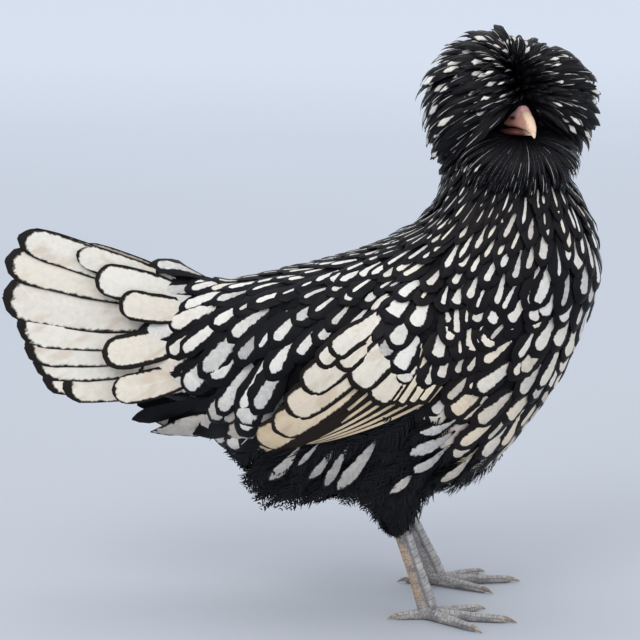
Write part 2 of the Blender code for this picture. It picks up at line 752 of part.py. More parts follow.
def toe_ring(centre, across, height, lift=0.0):
    up = Vector((0, 0, 1))
    right = [centre + across * a + up * (lift + height * b) for a, b in TOE_HALF]
    left = [centre - across * a + up * (lift + height * b) for a, b in TOE_HALF[1:-1]]
    return right + left[::-1]


def toe(start, degrees, length, half):
    """One toe along the floor with a pad at each joint, and its claw bent down to the floor."""
    way = Vector((math.cos(math.radians(degrees)), math.sin(math.radians(degrees)), 0))
    across = Vector((-way.y, way.x, 0))
    rings = []
    pads = ((-0.04, 0.95, 1.0), (0.22, 0.96, 0.94), (0.36, 0.8, 0.82), (0.5, 0.96, 0.84), (0.66, 0.76, 0.7))
    pads += ((0.82, 0.88, 0.7), (1.0, 0.55, 0.56))
    for share, wide, high in pads:
        rings.append(toe_ring(start + way * length * share, across * half * wide, TOE_HEIGHT * high))
    claw = CLAW_LENGTH * (0.55 + 0.45 * length / (TOES[0][1] * MM))
    for share, wide, high, lift in ((0.35, 0.42, 0.45, 0.12), (1.0, 0.07, 0.08, 0.0)):
        centre = start + way * (length + claw * share)
        rings.append(toe_ring(centre, across * half * wide, TOE_HEIGHT * high, TOE_HEIGHT * lift))
    return loft("toe", rings)


def union_all(obj, others, solver="MANIFOLD"):
    """Joins others to obj by one Boolean over their collection, and removes them."""
    group = bpy.data.collections.new("joined")
    for other in others:
        bpy.context.scene.collection.objects.unlink(other)
        group.objects.link(other)
    bpy.context.scene.collection.children.link(group)
    modifier = obj.modifiers.new("join", "BOOLEAN")
    modifier.operation = "UNION"
    modifier.solver = solver
    modifier.operand_type = "COLLECTION"
    modifier.collection = group
    bpy.context.view_layer.update()
    evaluated = obj.evaluated_get(bpy.context.evaluated_depsgraph_get())
    mesh = bpy.data.meshes.new_from_object(evaluated)
    materials = list(obj.data.materials)
    obj.modifiers.clear()
    obj.data = mesh
    mesh.materials.clear()
    for material in materials:
        mesh.materials.append(material)
    for other in others:
        bpy.data.objects.remove(other)
    bpy.data.collections.remove(group)
    keep_largest(obj)


def make_leg(side, thigh, skin):
    sign = -1 if side == "right" else 1
    out, shift = LEG_OUT[side] * sign, FOOT_SHIFT[side]
    leg = loft(f"leg_{side}", shank_rings(shift, out), skin)
    start = Vector((ANKLE.x + shift, out, 0))
    toes = []
    for degrees, length, half in TOES:
        turn = (degrees + TOE_TURN[side]) * sign
        toes.append(toe(start, turn, length * MM, half * MM))
    union_all(leg, toes)
    clear_of(leg, [thigh])
    return leg


def centre_on_floor(nodes):
    """Moves every node so that the origin is under the middle of the whole model's box."""
    low = Vector(min(vert.co[i] for node in nodes for vert in node.data.vertices) for i in range(3))
    high = Vector(max(vert.co[i] for node in nodes for vert in node.data.vertices) for i in range(3))
    shift = Matrix.Translation(-Vector(((low.x + high.x) / 2, (low.y + high.y) / 2, low.z)))
    for node in nodes:
        node.data.transform(shift)


def main():
    clear_scene()
    black = finish("black_plumage", BLACK, 0.55)
    laced = finish("laced_plumage", SILVER, 0.6)
    horn = finish("bill_horn", HORN, 0.4)
    slate = finish("leg_scales", SLATE, 0.55)
    iris = finish("eye", IRIS, 0.1)
    head_at = head_frame()
    torso, neck = make_torso_and_neck(laced)
    head = make_head(black, head_at)
    upper = bill_half("beak_upper", UPPER_BILL, head_at, horn)
    lower = bill_half("beak_lower", LOWER_BILL, head_at, horn)
    eyes = make_eyes(head_at, iris)
    face = [head, upper, lower, *eyes]
    crest = make_crest(head_at, black, neck, [torso, neck, *face])
    beard = make_beard(head_at, black, neck, [torso, neck, *face])
    wings = [make_wing(f"wing_{side}", sign, torso, laced) for side, sign in (("right", -1), ("left", 1))]
    tail = make_tail(torso, laced)
    thighs = {
        side: make_thigh(f"thigh_{side}", LEG_OUT[side] * sign, torso, black)
        for side, sign in (("right", -1), ("left", 1))
    }
    legs = [make_leg(side, thighs[side], slate) for side in ("right", "left")]
    nodes = [torso, neck, *face, crest, beard, *wings, tail, *thighs.values(), *legs]
    centre_on_floor(nodes)
    for node in nodes:
        shade(node)


main()
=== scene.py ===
"""A bearded crested hen with black-laced silver feathers, standing, its head turned to its right.

Metres, +Z up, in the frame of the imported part: the hen faces +X, and the camera looks along +Y.
The skin is one mesh. Every feather is a thin bent sheet over it, with its root in the skin, and the
feathers of each tract are joined into one mesh.
"""

import math

import bmesh
import bpy
import numpy as np
from mathutils import Matrix, Vector
from mathutils.bvhtree import BVHTree


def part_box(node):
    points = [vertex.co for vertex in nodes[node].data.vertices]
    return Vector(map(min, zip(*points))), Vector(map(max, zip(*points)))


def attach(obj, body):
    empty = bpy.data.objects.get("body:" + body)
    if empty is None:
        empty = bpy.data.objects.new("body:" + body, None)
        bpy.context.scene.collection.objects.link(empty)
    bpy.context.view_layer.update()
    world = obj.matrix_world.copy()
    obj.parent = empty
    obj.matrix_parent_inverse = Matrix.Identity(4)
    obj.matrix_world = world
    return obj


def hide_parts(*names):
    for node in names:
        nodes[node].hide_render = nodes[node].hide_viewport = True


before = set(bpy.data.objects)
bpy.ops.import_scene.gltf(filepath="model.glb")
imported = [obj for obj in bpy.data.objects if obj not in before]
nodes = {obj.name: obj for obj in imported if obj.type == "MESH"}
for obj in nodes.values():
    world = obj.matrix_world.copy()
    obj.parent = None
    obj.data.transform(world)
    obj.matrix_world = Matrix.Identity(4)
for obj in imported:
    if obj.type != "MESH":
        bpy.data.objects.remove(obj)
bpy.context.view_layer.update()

MM = 0.001

# The head's own frame, as in the solids: forward along the bill, left, and up, about the skull's centre
SKULL_CENTRE = Vector((121.5, -10, 324)) * MM
HEAD_TURN = math.radians(-73)
HEAD_NOD = math.radians(-1)
EYE_PLACE = Vector((8.5, 12.6, 5)) * MM
EYE_RADIUS = 5.4 * MM

turned = Matrix.Rotation(HEAD_TURN, 4, "Z") @ Matrix.Rotation(HEAD_NOD, 4, "Y")
eye_low, eye_high = (Vector(corner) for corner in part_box("eye_right"))
eye_drawn = SKULL_CENTRE + (turned @ Vector((EYE_PLACE.x, -EYE_PLACE.y, EYE_PLACE.z)))
SHIFT = (eye_low + eye_high) / 2 - eye_drawn
HEAD = Matrix.Translation(SKULL_CENTRE + SHIFT) @ turned
HEAD_IN = HEAD.inverted()
shift = np.array(SHIFT)


def spot(x, y, z):
    """A place given in the drawing's millimetres."""
    return Vector((x, y, z)) * MM + SHIFT


def drawn(places):
    """Places as millimetres of the drawing."""
    return (places - shift) / MM


def moved(matrix, places):
    return places @ np.array(matrix.to_3x3()).T + np.array(matrix.translation)


# The way feathers lie on the body. Each row is a place as x, how far out and z, then the way as x, out and z
LIE = (
    (78, 0, 292, -0.35, 0, -0.94), (118, 42, 292, -0.22, 0.1, -0.95), (165, 0, 288, 0.25, 0, -0.97),
    (66, 0, 262, -0.7, 0, -0.7), (108, 48, 262, -0.5, 0.1, -0.85), (150, 42, 262, -0.05, 0.1, -0.98),
    (182, 0, 255, 0.15, 0, -0.98), (186, 0, 210, 0.02, 0, -1), (175, 30, 205, -0.12, 0.2, -0.97),
    (160, 45, 225, -0.25, 0.2, -0.95), (140, 55, 200, -0.62, 0.2, -0.75), (120, 60, 180, -0.85, 0.05, -0.5),
    (165, 25, 160, -0.4, 0.1, -0.9), (130, 50, 140, -0.85, 0, -0.5), (150, 0, 125, -0.7, 0, -0.7),
    (100, 58, 160, -0.8, 0, -0.55), (90, 62, 235, -0.35, 0.2, -0.9), (92, 66, 205, -0.12, 0.1, -1),
    (80, 68, 180, -0.3, 0, -0.95), (64, 30, 256, -0.75, 0.2, -0.6), (30, 0, 241, -1, 0, -0.2),
    (0, 0, 232, -1, 0, -0.1), (30, 45, 236, -0.8, 0.4, -0.6), (40, 66, 210, -0.55, 0.1, -0.85),
    (55, 68, 175, -0.6, 0, -0.8), (0, 45, 218, -0.85, 0.3, -0.55), (-10, 60, 190, -0.5, 0, -0.87),
    (-35, 55, 185, -0.45, 0, -0.9), (-55, 45, 190, -0.6, 0, -0.8), (-30, 30, 217, -0.95, 0.15, -0.35),
    (-60, 0, 219, -1, 0, -0.02), (-80, 20, 205, -0.95, 0, -0.1), (-85, 30, 175, -0.9, 0, -0.45),
    (-60, 45, 150, -0.6, 0, -0.8), (-90, 20, 150, -0.95, 0, -0.1), (-60, 25, 105, -0.7, 0, -0.7),
    (-20, 50, 105, -0.6, 0, -0.8), (40, 60, 120, -0.8, 0, -0.55), (90, 50, 105, -0.9, 0, -0.35),
    (60, 0, 78, -1, 0, 0), (0, 0, 78, -1, 0, 0), (45, 40, 95, -0.15, 0, -1),
)

# The size of feathers on the body. Each row is a place as above, then the gap between roots across and along
# the feathers, the length and the width in millimetres, how pointed they are, how much white they show and
# how warm that white is.
SIZES = (
    (78, 0, 295, 4.2, 8, 24, 6, 1.0, 0.10, 0), (118, 42, 295, 4.2, 8, 22, 6, 1.0, 0.10, 0.2),
    (160, 0, 290, 4.4, 8, 22, 6.5, 0.9, 0.12, 0), (165, 35, 285, 4.4, 8, 22, 6.5, 0.9, 0.15, 0),
    (66, 0, 265, 5, 9, 24, 7, 0.9, 0.28, 0), (105, 48, 268, 6.0, 11, 26, 9, 0.85, 0.5, 0.5),
    (145, 42, 268, 6.8, 12, 27, 10.5, 0.75, 0.5, 0.4), (178, 0, 262, 6.8, 11, 24, 10, 0.6, 0.42, 0.05),
    (155, 48, 245, 10.5, 16, 34, 17, 0.4, 0.9, 0.05), (182, 15, 240, 10, 13, 28, 16, 0.4, 0.75, 0.0),
    (184, 0, 210, 11, 16, 32, 17.5, 0.3, 0.85, 0.1), (170, 35, 205, 12, 18, 36, 19, 0.25, 0.95, 0.1),
    (165, 0, 150, 11, 18, 36, 17, 0.2, 0.9, 0.55), (130, 54, 225, 9.6, 14, 28, 14.5, 0.3, 0.7, 0.05),
    (128, 56, 190, 10.4, 16, 31, 15.5, 0.2, 0.75, 0.4), (120, 58, 155, 11, 18, 36, 17, 0.15, 0.95, 0.65),
    (95, 60, 238, 8, 12, 24, 12, 0.3, 0.6, 0.1), (92, 66, 205, 8.8, 11.5, 22, 13.5, 0.1, 0.62, 0.35),
    (60, 68, 205, 11, 15, 28, 17, 0.05, 0.85, 0.05), (35, 62, 222, 9.8, 14.5, 27, 15, 0.15, 0.8, 0),
    (72, 68, 170, 9.8, 12.5, 24, 15, 0.05, 0.8, 0.35), (45, 0, 246, 5.0, 9, 20, 7.5, 0.5, 0.4, 0),
    (0, 0, 232, 5.6, 10, 22, 8.5, 0.4, 0.45, 0), (20, 40, 232, 7.6, 13, 26, 12, 0.25, 0.65, 0),
    (-10, 50, 205, 10, 17, 35, 15, 0.2, 0.7, 0), (-50, 0, 221, 7.6, 14, 34, 11, 0.35, 0.7, 0),
    (-35, 54, 185, 10.6, 20, 41, 16.5, 0.15, 0.8, 0), (-65, 38, 185, 11, 22, 46, 17.5, 0.1, 0.9, 0),
    (-55, 42, 150, 10.5, 20, 42, 16, 0.1, 0.85, 0.2), (-90, 10, 205, 10, 20, 46, 17, 0.15, 0.95, 0),
    (-90, 25, 165, 11, 21, 46, 18, 0.1, 0.95, 0.1), (30, 55, 130, 9, 16, 32, 13, 0.15, 0.5, 0.3),
)

# Where the coat turns to black fluff below: a place, and 1 for fluff or 0 for closed feathers
FLUFF = (
    (150, 0, 118, 0), (130, 45, 130, 0), (105, 55, 140, 0), (100, 40, 95, 0.75), (70, 55, 125, 1),
    (40, 55, 130, 1), (0, 55, 130, 1), (-30, 50, 120, 0.9), (-45, 50, 150, 0), (-70, 38, 150, 0),
    (-70, 25, 115, 0.9), (-95, 15, 145, 0.8), (60, 0, 78, 1), (0, 0, 78, 1), (-40, 0, 90, 1),
    (45, 40, 90, 1), (0, 60, 170, 0), (50, 66, 170, 0), (100, 60, 170, 0), (120, 10, 95, 0.6),
    (-80, 0, 125, 1), (-90, 25, 175, 0), (48, 38, 70, 1),
)


def finished(name, mesh, material, node_names=()):
    """One piece of the hen from a mesh in its place."""
    piece = bpy.data.objects.new(name, mesh)
    bpy.context.scene.collection.objects.link(piece)
    mesh.materials.clear()
    mesh.materials.append(material)
    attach(piece, "root")
    if node_names:
        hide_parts(*node_names)
    return piece


def unit(rows):
    return rows / np.maximum(np.linalg.norm(rows, axis=-1, keepdims=True), 1e-9)


def ramp(values, start, span):
    """0 at the start and 1 a span further on, even between and flat beyond. A span below 0 runs backwards."""
    return np.clip((values - start) / span, 0, 1)


def laid_flat(ways, normals):
    """Ways turned to lie in the plane that their normals stand on."""
    return unit(ways - normals * (ways * normals).sum(axis=1, keepdims=True))


def picked(chosen, *tables):
    return [rows[chosen] for rows in tables]


def nearby(places, table, values_from, power=2.0, soft=120.0):
    """Values of a table's rows, blended by how near each row's place is. Both sides of the hen are alike."""
    at = drawn(places)
    at[:, 1] = np.abs(at[:, 1])
    table = np.array(table, dtype=float)
    far = ((at[:, None, :] - table[None, :, :3]) ** 2).sum(axis=2)
    share = 1 / (far + soft) ** power
    share /= share.sum(axis=1, keepdims=True)
    return share @ table[:, values_from:]


REAR_X = -92


def fluffy_at(places, normals):
    """How fluffy the coat is, from the table, and fluffy also where the body ends behind."""
    fluffy = nearby(places, FLUFF, 3, 2.5)[:, 0]
    behind = (normals[:, 0] < -0.65) & (places[:, 0] - shift[0] < REAR_X * MM)
    return np.where(behind, 1.0, fluffy)


def lie_at(places):
    way = nearby(places, LIE, 3, 2.0, 60.0)
    way[:, 1] *= np.sign(places[:, 1] - shift[1])
    return unit(way)


# Materials


class Paint:
    """The nodes of one material, from its patterns to its shader."""

    def __init__(self, name):
        self.made = bpy.data.materials.new(name)
        self.made.use_nodes = True
        self.tree = self.made.node_tree

    def join(self, value, socket):
        """Join a socket to another one, or set it to a number or colour."""
        if isinstance(value, bpy.types.NodeSocket):
            self.tree.links.new(value, socket)
        else:
            socket.default_value = value

    def node(self, kind, inputs=(), **settings):
        node = self.tree.nodes.new(f"ShaderNode{kind}")
        for key, value in settings.items():
            setattr(node, key, value)
        for key, value in dict(inputs).items():
            self.join(value, node.inputs[key])
        return node

    def place(self):
        return self.node("TexCoord").outputs["Object"]

    def split(self, vector):
        return self.node("SeparateXYZ", {"Vector": vector}).outputs

    def vector(self, x, y, z):
        return self.node("CombineXYZ", {"X": x, "Y": y, "Z": z}).outputs[0]

    def mapped(self, name):
        """The numbers of one of the piece's own maps."""
        return self.split(self.node("UVMap", uv_map=name).outputs[0])

    def noise(self, where, scale, detail=2.0, roughness=0.5):
        inputs = {"Vector": where, "Scale": scale, "Detail": detail, "Roughness": roughness}
        return self.node("TexNoise", inputs).outputs["Fac"]

    def cells(self, where, scale, **settings):
        return self.node("TexVoronoi", {"Vector": where, "Scale": scale}, **settings).outputs["Distance"]

    def sum(self, operation, *values, clamp=False):
        return self.node("Math", enumerate(values), operation=operation, use_clamp=clamp).outputs[0]

    def plus(self, *values):
        return self.sum("ADD", *values)

    def less(self, *values):
        return self.sum("SUBTRACT", *values)

    def times(self, *values):
        return self.sum("MULTIPLY", *values)

    def size(self, value):
        return self.sum("ABSOLUTE", value)

    def stirred(self, value, pattern, amount):
        """A value raised and lowered by a pattern about the pattern's middle."""
        return self.sum("MULTIPLY_ADD", self.less(pattern, 0.5), amount, value)

    def ease(self, value, low, high):
        inputs = {"Value": value, "From Min": low, "From Max": high}
        return self.node("MapRange", inputs, interpolation_type="SMOOTHSTEP").outputs["Result"]

    def mix(self, share, first, second):
        node = self.node("Mix", data_type="RGBA")
        for k, value in ((0, share), (6, first), (7, second)):
            self.join(value, node.inputs[k])
        return node.outputs[2]

    def done(self, relief=None, **sockets):
        """The material, with a relief of strength, depth and pattern. Sockets are named without spaces."""
        shader = self.tree.nodes["Principled BSDF"]
        if relief:
            bump = self.node("Bump", dict(zip(("Strength", "Distance", "Height"), relief)))
            sockets["Normal"] = bump.outputs[0]
        for key, value in sockets.items():
            self.join(value, shader.inputs[key.replace("_", " ")])
        return self.made


def tint(colour, times, plus=(0, 0, 0)):
    """A colour with its channels multiplied and then raised."""
    return tuple(c * t + p for c, t, p in zip(colour, times, plus)) + (1,)


BARB_SLANT = 1.2
BARBS_PER_CM = 24.0
NOISE_APART = 70.0
DARK_ROUGHNESS = 0.62
STAIN = (0.50, 0.36, 0.24, 1)
QUILL = (0.80, 0.75, 0.66, 1)


def feather_material(
    name, white, warm_white, black, ragged=0.2, soft=0.12, streaks=0.3, gloss=0.44, shaft=0.0,
    corners=(1.25, 2.3), wobble=0.55, stained=0.12, cloudy=0.5,
):
    """Laced feathers: the pale mark fills the middle, in a dark edge, and fine barbs slant from the shaft.

    The map Mark is 1 at the mark's edge, Blade is across and along the feather in centimetres, and the
    colour tone holds a random number, the mark's warmth and how far it is dulled to grey. The corners say how
    lens-like or square a mark may be, and wobble how uneven."""
    paint = Paint(name)
    mark, blade = paint.mapped("Mark"), paint.mapped("Blade")
    tone = paint.node("Attribute", attribute_name="tone").outputs["Color"]
    chance, warmth, greyness = paint.node("SeparateColor", {"Color": tone}).outputs
    own = paint.times(chance, NOISE_APART)
    side = paint.size(blade[0])
    barb = paint.times(paint.less(blade[1], paint.times(side, BARB_SLANT)), BARBS_PER_CM)
    grain = paint.noise(paint.vector(barb, paint.times(side, 2.4), own), 1.0, 3.0, 0.65)
    # Streaks along the barbs: they grey the pale mark a little, and on the black they make a painted sheen
    streak_and_sheen = paint.ease(grain, 0.33, 0.67)
    uneven = paint.noise(paint.vector(blade[0], blade[1], own), 3.2, 1.0)

    corner = paint.sum("MULTIPLY_ADD", chance, corners[1] - corners[0], corners[0])
    reach = [paint.sum("POWER", paint.size(mark[i]), corner) for i in (0, 1)]
    reach = paint.sum("POWER", paint.plus(*reach), paint.sum("DIVIDE", 1.0, corner))
    reach = paint.stirred(paint.stirred(reach, grain, ragged * 2), uneven, wobble)
    edge = paint.ease(reach, 1 - soft, 1 + soft * 0.4)

    pale = paint.mix(warmth, white, warm_white)
    # Painted shade: the pale mark greys towards the root, where the feather above lies over it
    painted_root_shade = paint.times(paint.sum("MAXIMUM", paint.times(mark[1], -1.0), 0.0), 0.45)
    dull = paint.stirred(paint.stirred(greyness, streak_and_sheen, streaks), uneven, cloudy)
    dull = paint.sum("ADD", dull, painted_root_shade, clamp=True)
    pale = paint.mix(dull, pale, tint(white, (0.40, 0.40, 0.42)))
    blots = paint.noise(paint.vector(blade[0], paint.times(barb, 0.03), paint.plus(own, 9.0)), 0.9)
    pale = paint.mix(paint.times(paint.ease(blots, 0.50, 0.72), stained), pale, STAIN)
    if shaft:
        line = paint.ease(side, 0.02 + shaft * 0.5, 0.0)
        pale = paint.mix(paint.times(line, 0.35), pale, QUILL)
    brown = tint(black, (1.8, 1.8, 1.8), (0.016, 0.008, 0.004))
    dark = paint.mix(paint.times(warmth, 0.6), black, brown)
    # Painted sheen: along the barb streaks the black is lightened, as highlights on its gloss
    dark = paint.mix(paint.times(streak_and_sheen, 0.5), dark, tint(black, (2.2, 2.2, 2.2)))
    rough = paint.plus(paint.times(edge, gloss - DARK_ROUGHNESS), DARK_ROUGHNESS)
    colour = paint.mix(edge, pale, dark)
    return paint.done((0.25, 0.0003, grain), Base_Color=colour, Roughness=rough, Specular_IOR_Level=0.1)


def skin_material(name, colour, other, scale, depth=0.0003, roughness=0.6, shine=0.4):
    """Bare skin or down: one colour broken by another in fine patches."""
    paint = Paint(name)
    place = paint.place()
    patches = paint.mix(paint.ease(paint.noise(place, scale, 5.0), 0.4, 0.65), colour, other)
    relief = (0.5, depth, paint.cells(place, scale * 2.2))
    return paint.done(relief, Base_Color=patches, Roughness=roughness, Specular_IOR_Level=shine)


SILVER = (0.77, 0.745, 0.70, 1)
CREAM = (0.80, 0.65, 0.45, 1)
SOOT = (0.004, 0.004, 0.0055, 1)

body_plumage = feather_material("laced_plumage", SILVER, CREAM, SOOT)
hackle_plumage = feather_material(
    "hackle_plumage", SILVER, CREAM, SOOT, ragged=0.22, soft=0.18, corners=(1.1, 1.9), wobble=0.5
)
crest_plumage = feather_material(
    "crest_plumage", SILVER, CREAM, SOOT, ragged=0.3, soft=0.3, gloss=0.36, corners=(0.95, 1.6), wobble=0.6
)
flight_plumage = feather_material(
    "flight_plumage", (0.76, 0.73, 0.66, 1), (0.76, 0.57, 0.34, 1), (0.007, 0.0055, 0.005, 1),
    ragged=0.12, soft=0.07, streaks=0.12, gloss=0.45, shaft=0.07,
    corners=(2.2, 2.9), wobble=0.22, stained=0.4, cloudy=0.35,
)
down = feather_material("black_down", (0.42, 0.43, 0.45, 1), CREAM, (0.008, 0.008, 0.010, 1), gloss=0.6)
dark_skin = skin_material(
    "dark_down_skin", (0.004, 0.004, 0.005, 1), (0.008, 0.008, 0.009, 1), 260, shine=0.05
)


# Sheets of feathers


def rows_of(mesh, what="co"):
    """A mesh's places or normals, one to a row."""
    values = np.zeros(len(mesh.vertices) * 3)
    mesh.vertices.foreach_get(what, values)
    return values.reshape(-1, 3)


def smooth_mesh(name, bm):
    """A worked form as a smoothly shaded mesh, after which the form itself is let go."""
    mesh = bpy.data.meshes.new(name)
    bm.to_mesh(mesh)
    bm.free()
    mesh.shade_smooth()
    return mesh


def grid_blank(rows, columns):
    """A flat blank of rows and columns, as each corner's row and column, and its faces."""
    bm = bmesh.new()
    bmesh.ops.create_grid(bm, x_segments=columns - 1, y_segments=rows - 1, size=1.0)
    bm.verts.ensure_lookup_table()
    row = [round((vert.co.y + 1) / 2 * (rows - 1)) for vert in bm.verts]
    column = [round((vert.co.x + 1) / 2 * (columns - 1)) for vert in bm.verts]
    faces = [[vert.index for vert in face.verts] for face in bm.faces]
    bm.free()
    return np.array(row), np.array(column), np.array(faces)


def order_on_skin(roots, middle):
    """Each root's cell in a square atlas, so that neighbours on the skin are neighbours there."""
    off = roots - middle
    along = off[:, 0] - 0.3 * off[:, 2]
    round_it = np.arctan2(off[:, 1], off[:, 2])
    count = len(roots)
    side = math.ceil(math.sqrt(count))
    cells = np.zeros((count, 2))
    by_length = np.argsort(along, kind="stable")
    for column in range(side):
        held = by_length[column * side : (column + 1) * side]
        held = held[np.argsort(round_it[held], kind="stable")]
        cells[held, 0] = column
        cells[held, 1] = np.arange(len(held))
    return cells, side


CELL_SHARE = 0.86
CELL_RIM = (1 - CELL_SHARE) / 2


def joined_sheets(name, points, maps, tone, roots, material, node_names=()):
    """Many sheets of the same rows and columns as one mesh. points are sheets, rows, columns and x, y, z."""
    count, rows, columns = points.shape[:3]
    row, column, faces = grid_blank(rows, columns)
    corners = points[:, row, column, :].reshape(-1, 3)
    each = len(row)
    sheet_faces = (faces[None, :, :] + (np.arange(count) * each)[:, None, None]).reshape(-1)
    quads = len(sheet_faces) // 4
    mesh = bpy.data.meshes.new(name)
    mesh.vertices.add(len(corners))
    mesh.vertices.foreach_set("co", corners.astype(np.float32).reshape(-1))
    mesh.loops.add(len(sheet_faces))
    mesh.loops.foreach_set("vertex_index", sheet_faces.astype(np.int32))
    mesh.polygons.add(quads)
    mesh.polygons.foreach_set("loop_start", np.arange(quads, dtype=np.int32) * 4)
    mesh.polygons.foreach_set("loop_total", np.full(quads, 4, dtype=np.int32))
    mesh.update(calc_edges=True)
    cells, side = order_on_skin(roots, roots.mean(axis=0))
    inner = np.stack([column / (columns - 1), row / (rows - 1)], axis=1) * CELL_SHARE + CELL_RIM
    layers = {"OFBake": ((cells[:, None, :] + inner[None, :, :]) / side).reshape(-1, 2)}
    for key, values in maps.items():
        layers[key] = values[:, row, column, :].reshape(-1, 2)
    for key, values in layers.items():
        layer = mesh.uv_layers.new(name=key)
        layer.data.foreach_set("uv", values[sheet_faces].astype(np.float32).reshape(-1))
    mesh.uv_layers.active = mesh.uv_layers["OFBake"]
    colour = mesh.color_attributes.new("tone", "FLOAT_COLOR", "POINT")
    full = np.ones((count, each, 4), dtype=np.float32)
    full[:, :, :3] = tone[:, None, :]
    colour.data.foreach_set("color", full.reshape(-1))
    mesh.shade_smooth()
    return finished(name, mesh, material, node_names)


# Half widths of a blade from root to tip, as shares of the widest


def swollen(steps, full):
    return np.sin(np.pi / 2 * ramp(steps, 0, full))


def rounded(steps):
    body = 0.34 + 0.66 * swollen(steps, 0.62)
    return np.maximum(body * np.sqrt(1 - ramp(steps, 0.62, 0.38) ** 2.3 * 0.985), 0.1)


def pointed(steps):
    body = 0.4 + 0.6 * swollen(steps, 0.5)
    return np.maximum(body * (1 - ramp(steps, 0.5, 0.5) ** 1.5 * 0.94), 0.05)


def lens(steps):
    body = 0.16 + 0.84 * swollen(steps, 0.78) ** 1.3
    return np.maximum(body * (1 - ramp(steps, 0.78, 0.22) ** 1.9 * 0.9), 0.06)


def sharpened(shape, steps, sharp):
    """Each blade's outline, between a shape and a pointed one."""
    return shape(steps)[None] * (1 - sharp[:, None]) + pointed(steps)[None] * sharp[:, None]


def directions(lines):
    last = lines.shape[1] - 1
    order = np.arange(last + 1)
    return unit(lines[:, np.minimum(order + 1, last)] - lines[:, np.maximum(order - 1, 0)])


def evened(lines):
    """Draw the inner places of lines half way to their neighbours' middle."""
    lines[..., 1:-1, :] = lines[..., 1:-1, :] * 0.5 + (lines[..., :-2, :] + lines[..., 2:, :]) * 0.25


def blade_points(centres, faces, widths, shapes, columns, cup, draw, ragged=0.06, ridge=0.0, tilt=0.0):
    """Sheets along centre lines, cupped towards the skin, with uneven edges. A tilt lifts the lower edge."""
    along = directions(centres)
    across = unit(np.cross(along, faces))
    face = unit(np.cross(across, along))
    count, rows = centres.shape[:2]
    half = widths[:, None] / 2 * shapes
    share = np.linspace(-1, 1, columns)
    uneven = 1 + ragged * draw.standard_normal((count, rows, columns)) * (np.abs(share) > 0.99)
    out = half[:, :, None] * share * uneven
    drop = -cup * half[:, :, None] * share**2 + ridge * (np.abs(share) < 0.01)
    drop = drop - tilt * half[:, :, None] * share * np.sign(across[..., 2:])
    slip = ragged * widths[:, None, None] * draw.standard_normal((count, rows, columns)) * 0.35
    slip *= np.linspace(0, 1, rows)[None, :, None] ** 2 * (np.abs(share) > 0.2)
    points = centres[:, :, None, :] + across[:, :, None, :] * out[..., None]
    points += face[:, :, None, :] * drop[..., None] + along[:, :, None, :] * slip[..., None]
    return points, out


def marks(out, lengths, steps, half_mark, tip_mark, root_mark, middle, taper=0.55):
    """The pale mark's map: 1 on its edge, narrower towards the root."""
    along = steps[None, :] * lengths[:, None] - middle[:, None]
    reach = np.where(along > 0, along / tip_mark[:, None], along / root_mark[:, None])
    taper = np.broadcast_to(np.asarray(taper, dtype=float).reshape(-1, 1), reach.shape)
    narrow = np.where(reach < 0, 1 + taper * reach, 1.0)
    x = out / (half_mark[:, None] * np.maximum(narrow, 0.15))[:, :, None]
    y = np.broadcast_to(reach[:, :, None], out.shape)
    return np.stack([x, y], axis=-1)


NO_MARK = 3.0


def maps_of(mark, out, lengths, steps):
    """The maps of a piece's blades. Without a mark, every place lies beyond a mark's edge."""
    if mark is None:
        mark = np.full((*out.shape, 2), NO_MARK)
    along = np.broadcast_to((steps[None, :] * lengths[:, None])[:, :, None], out.shape)
    return {"Mark": mark, "Blade": np.stack([out * 100, along * 100], axis=-1)}


# Skin


class Skin:
    """A smooth surface that feathers are rooted in and lie along."""

    def __init__(self, mesh):
        self.verts = rows_of(mesh)
        mesh.calc_loop_triangles()
        self.tris = np.zeros(len(mesh.loop_triangles) * 3, dtype=np.int32)
        mesh.loop_triangles.foreach_get("vertices", self.tris)
        self.tris = self.tris.reshape(-1, 3)
        a, b, c = (self.verts[self.tris[:, i]] for i in range(3))
        flat = np.cross(b - a, c - a)
        self.areas = np.linalg.norm(flat, axis=1) / 2
        normals = np.zeros_like(self.verts)
        for i in range(3):
            np.add.at(normals, self.tris[:, i], flat)
        normals = unit(normals)
        pairs = np.concatenate([self.tris[:, [0, 1]], self.tris[:, [1, 2]], self.tris[:, [2, 0]]])
        for _ in range(6):
            spread = normals.copy()
            np.add.at(spread, pairs[:, 0], normals[pairs[:, 1]])
            normals = unit(spread)
        self.normals = unit(normals[self.tris].sum(axis=1))
        self.tree = BVHTree.FromPolygons(self.verts.tolist(), self.tris.tolist())

    def nearest(self, places):
        found, normals = np.zeros_like(places), np.zeros_like(places)
        for i, place in enumerate(places):
            found[i], _, face, _ = self.tree.find_nearest(place)
            normals[i] = self.normals[face]
        return found, normals

    def scattered(self, count, draw):
        """Random places, evenly over the area, with their normals."""
        chosen = draw.choice(len(self.tris), size=count, p=self.areas / self.areas.sum())
        a, b, c = (self.verts[self.tris[chosen, i]] for i in range(3))
        u, v = draw.random((2, count, 1))
        flip = u + v > 1
        u, v = np.where(flip, 1 - u, u), np.where(flip, 1 - v, v)
        return a + (b - a) * u + (c - a) * v, self.normals[chosen]


def thinned(places, gaps, ways=None, long_gaps=None):
    """Indexes of places that keep their gap from those taken before them, a longer one along their way."""
    if ways is None:
        ways, long_gaps = np.zeros_like(places), gaps
    cell = float(np.maximum(gaps, long_gaps).max())
    held = {}
    kept = []
    ease = 1 - (gaps / long_gaps) ** 2
    for i in range(len(places)):
        place = places[i]
        x, y, z = (int(math.floor(value / cell)) for value in place)
        near = [
            other
            for dx in (-1, 0, 1)
            for dy in (-1, 0, 1)
            for dz in (-1, 0, 1)
            for other in held.get((x + dx, y + dy, z + dz), ())
        ]
        if near:
            off = places[near] - place
            far = (off**2).sum(axis=1) - ease[i] * (off @ ways[i]) ** 2
            if far.min() < gaps[i] ** 2:
                continue
        held.setdefault((x, y, z), []).append(i)
        kept.append(i)
    return np.array(kept)


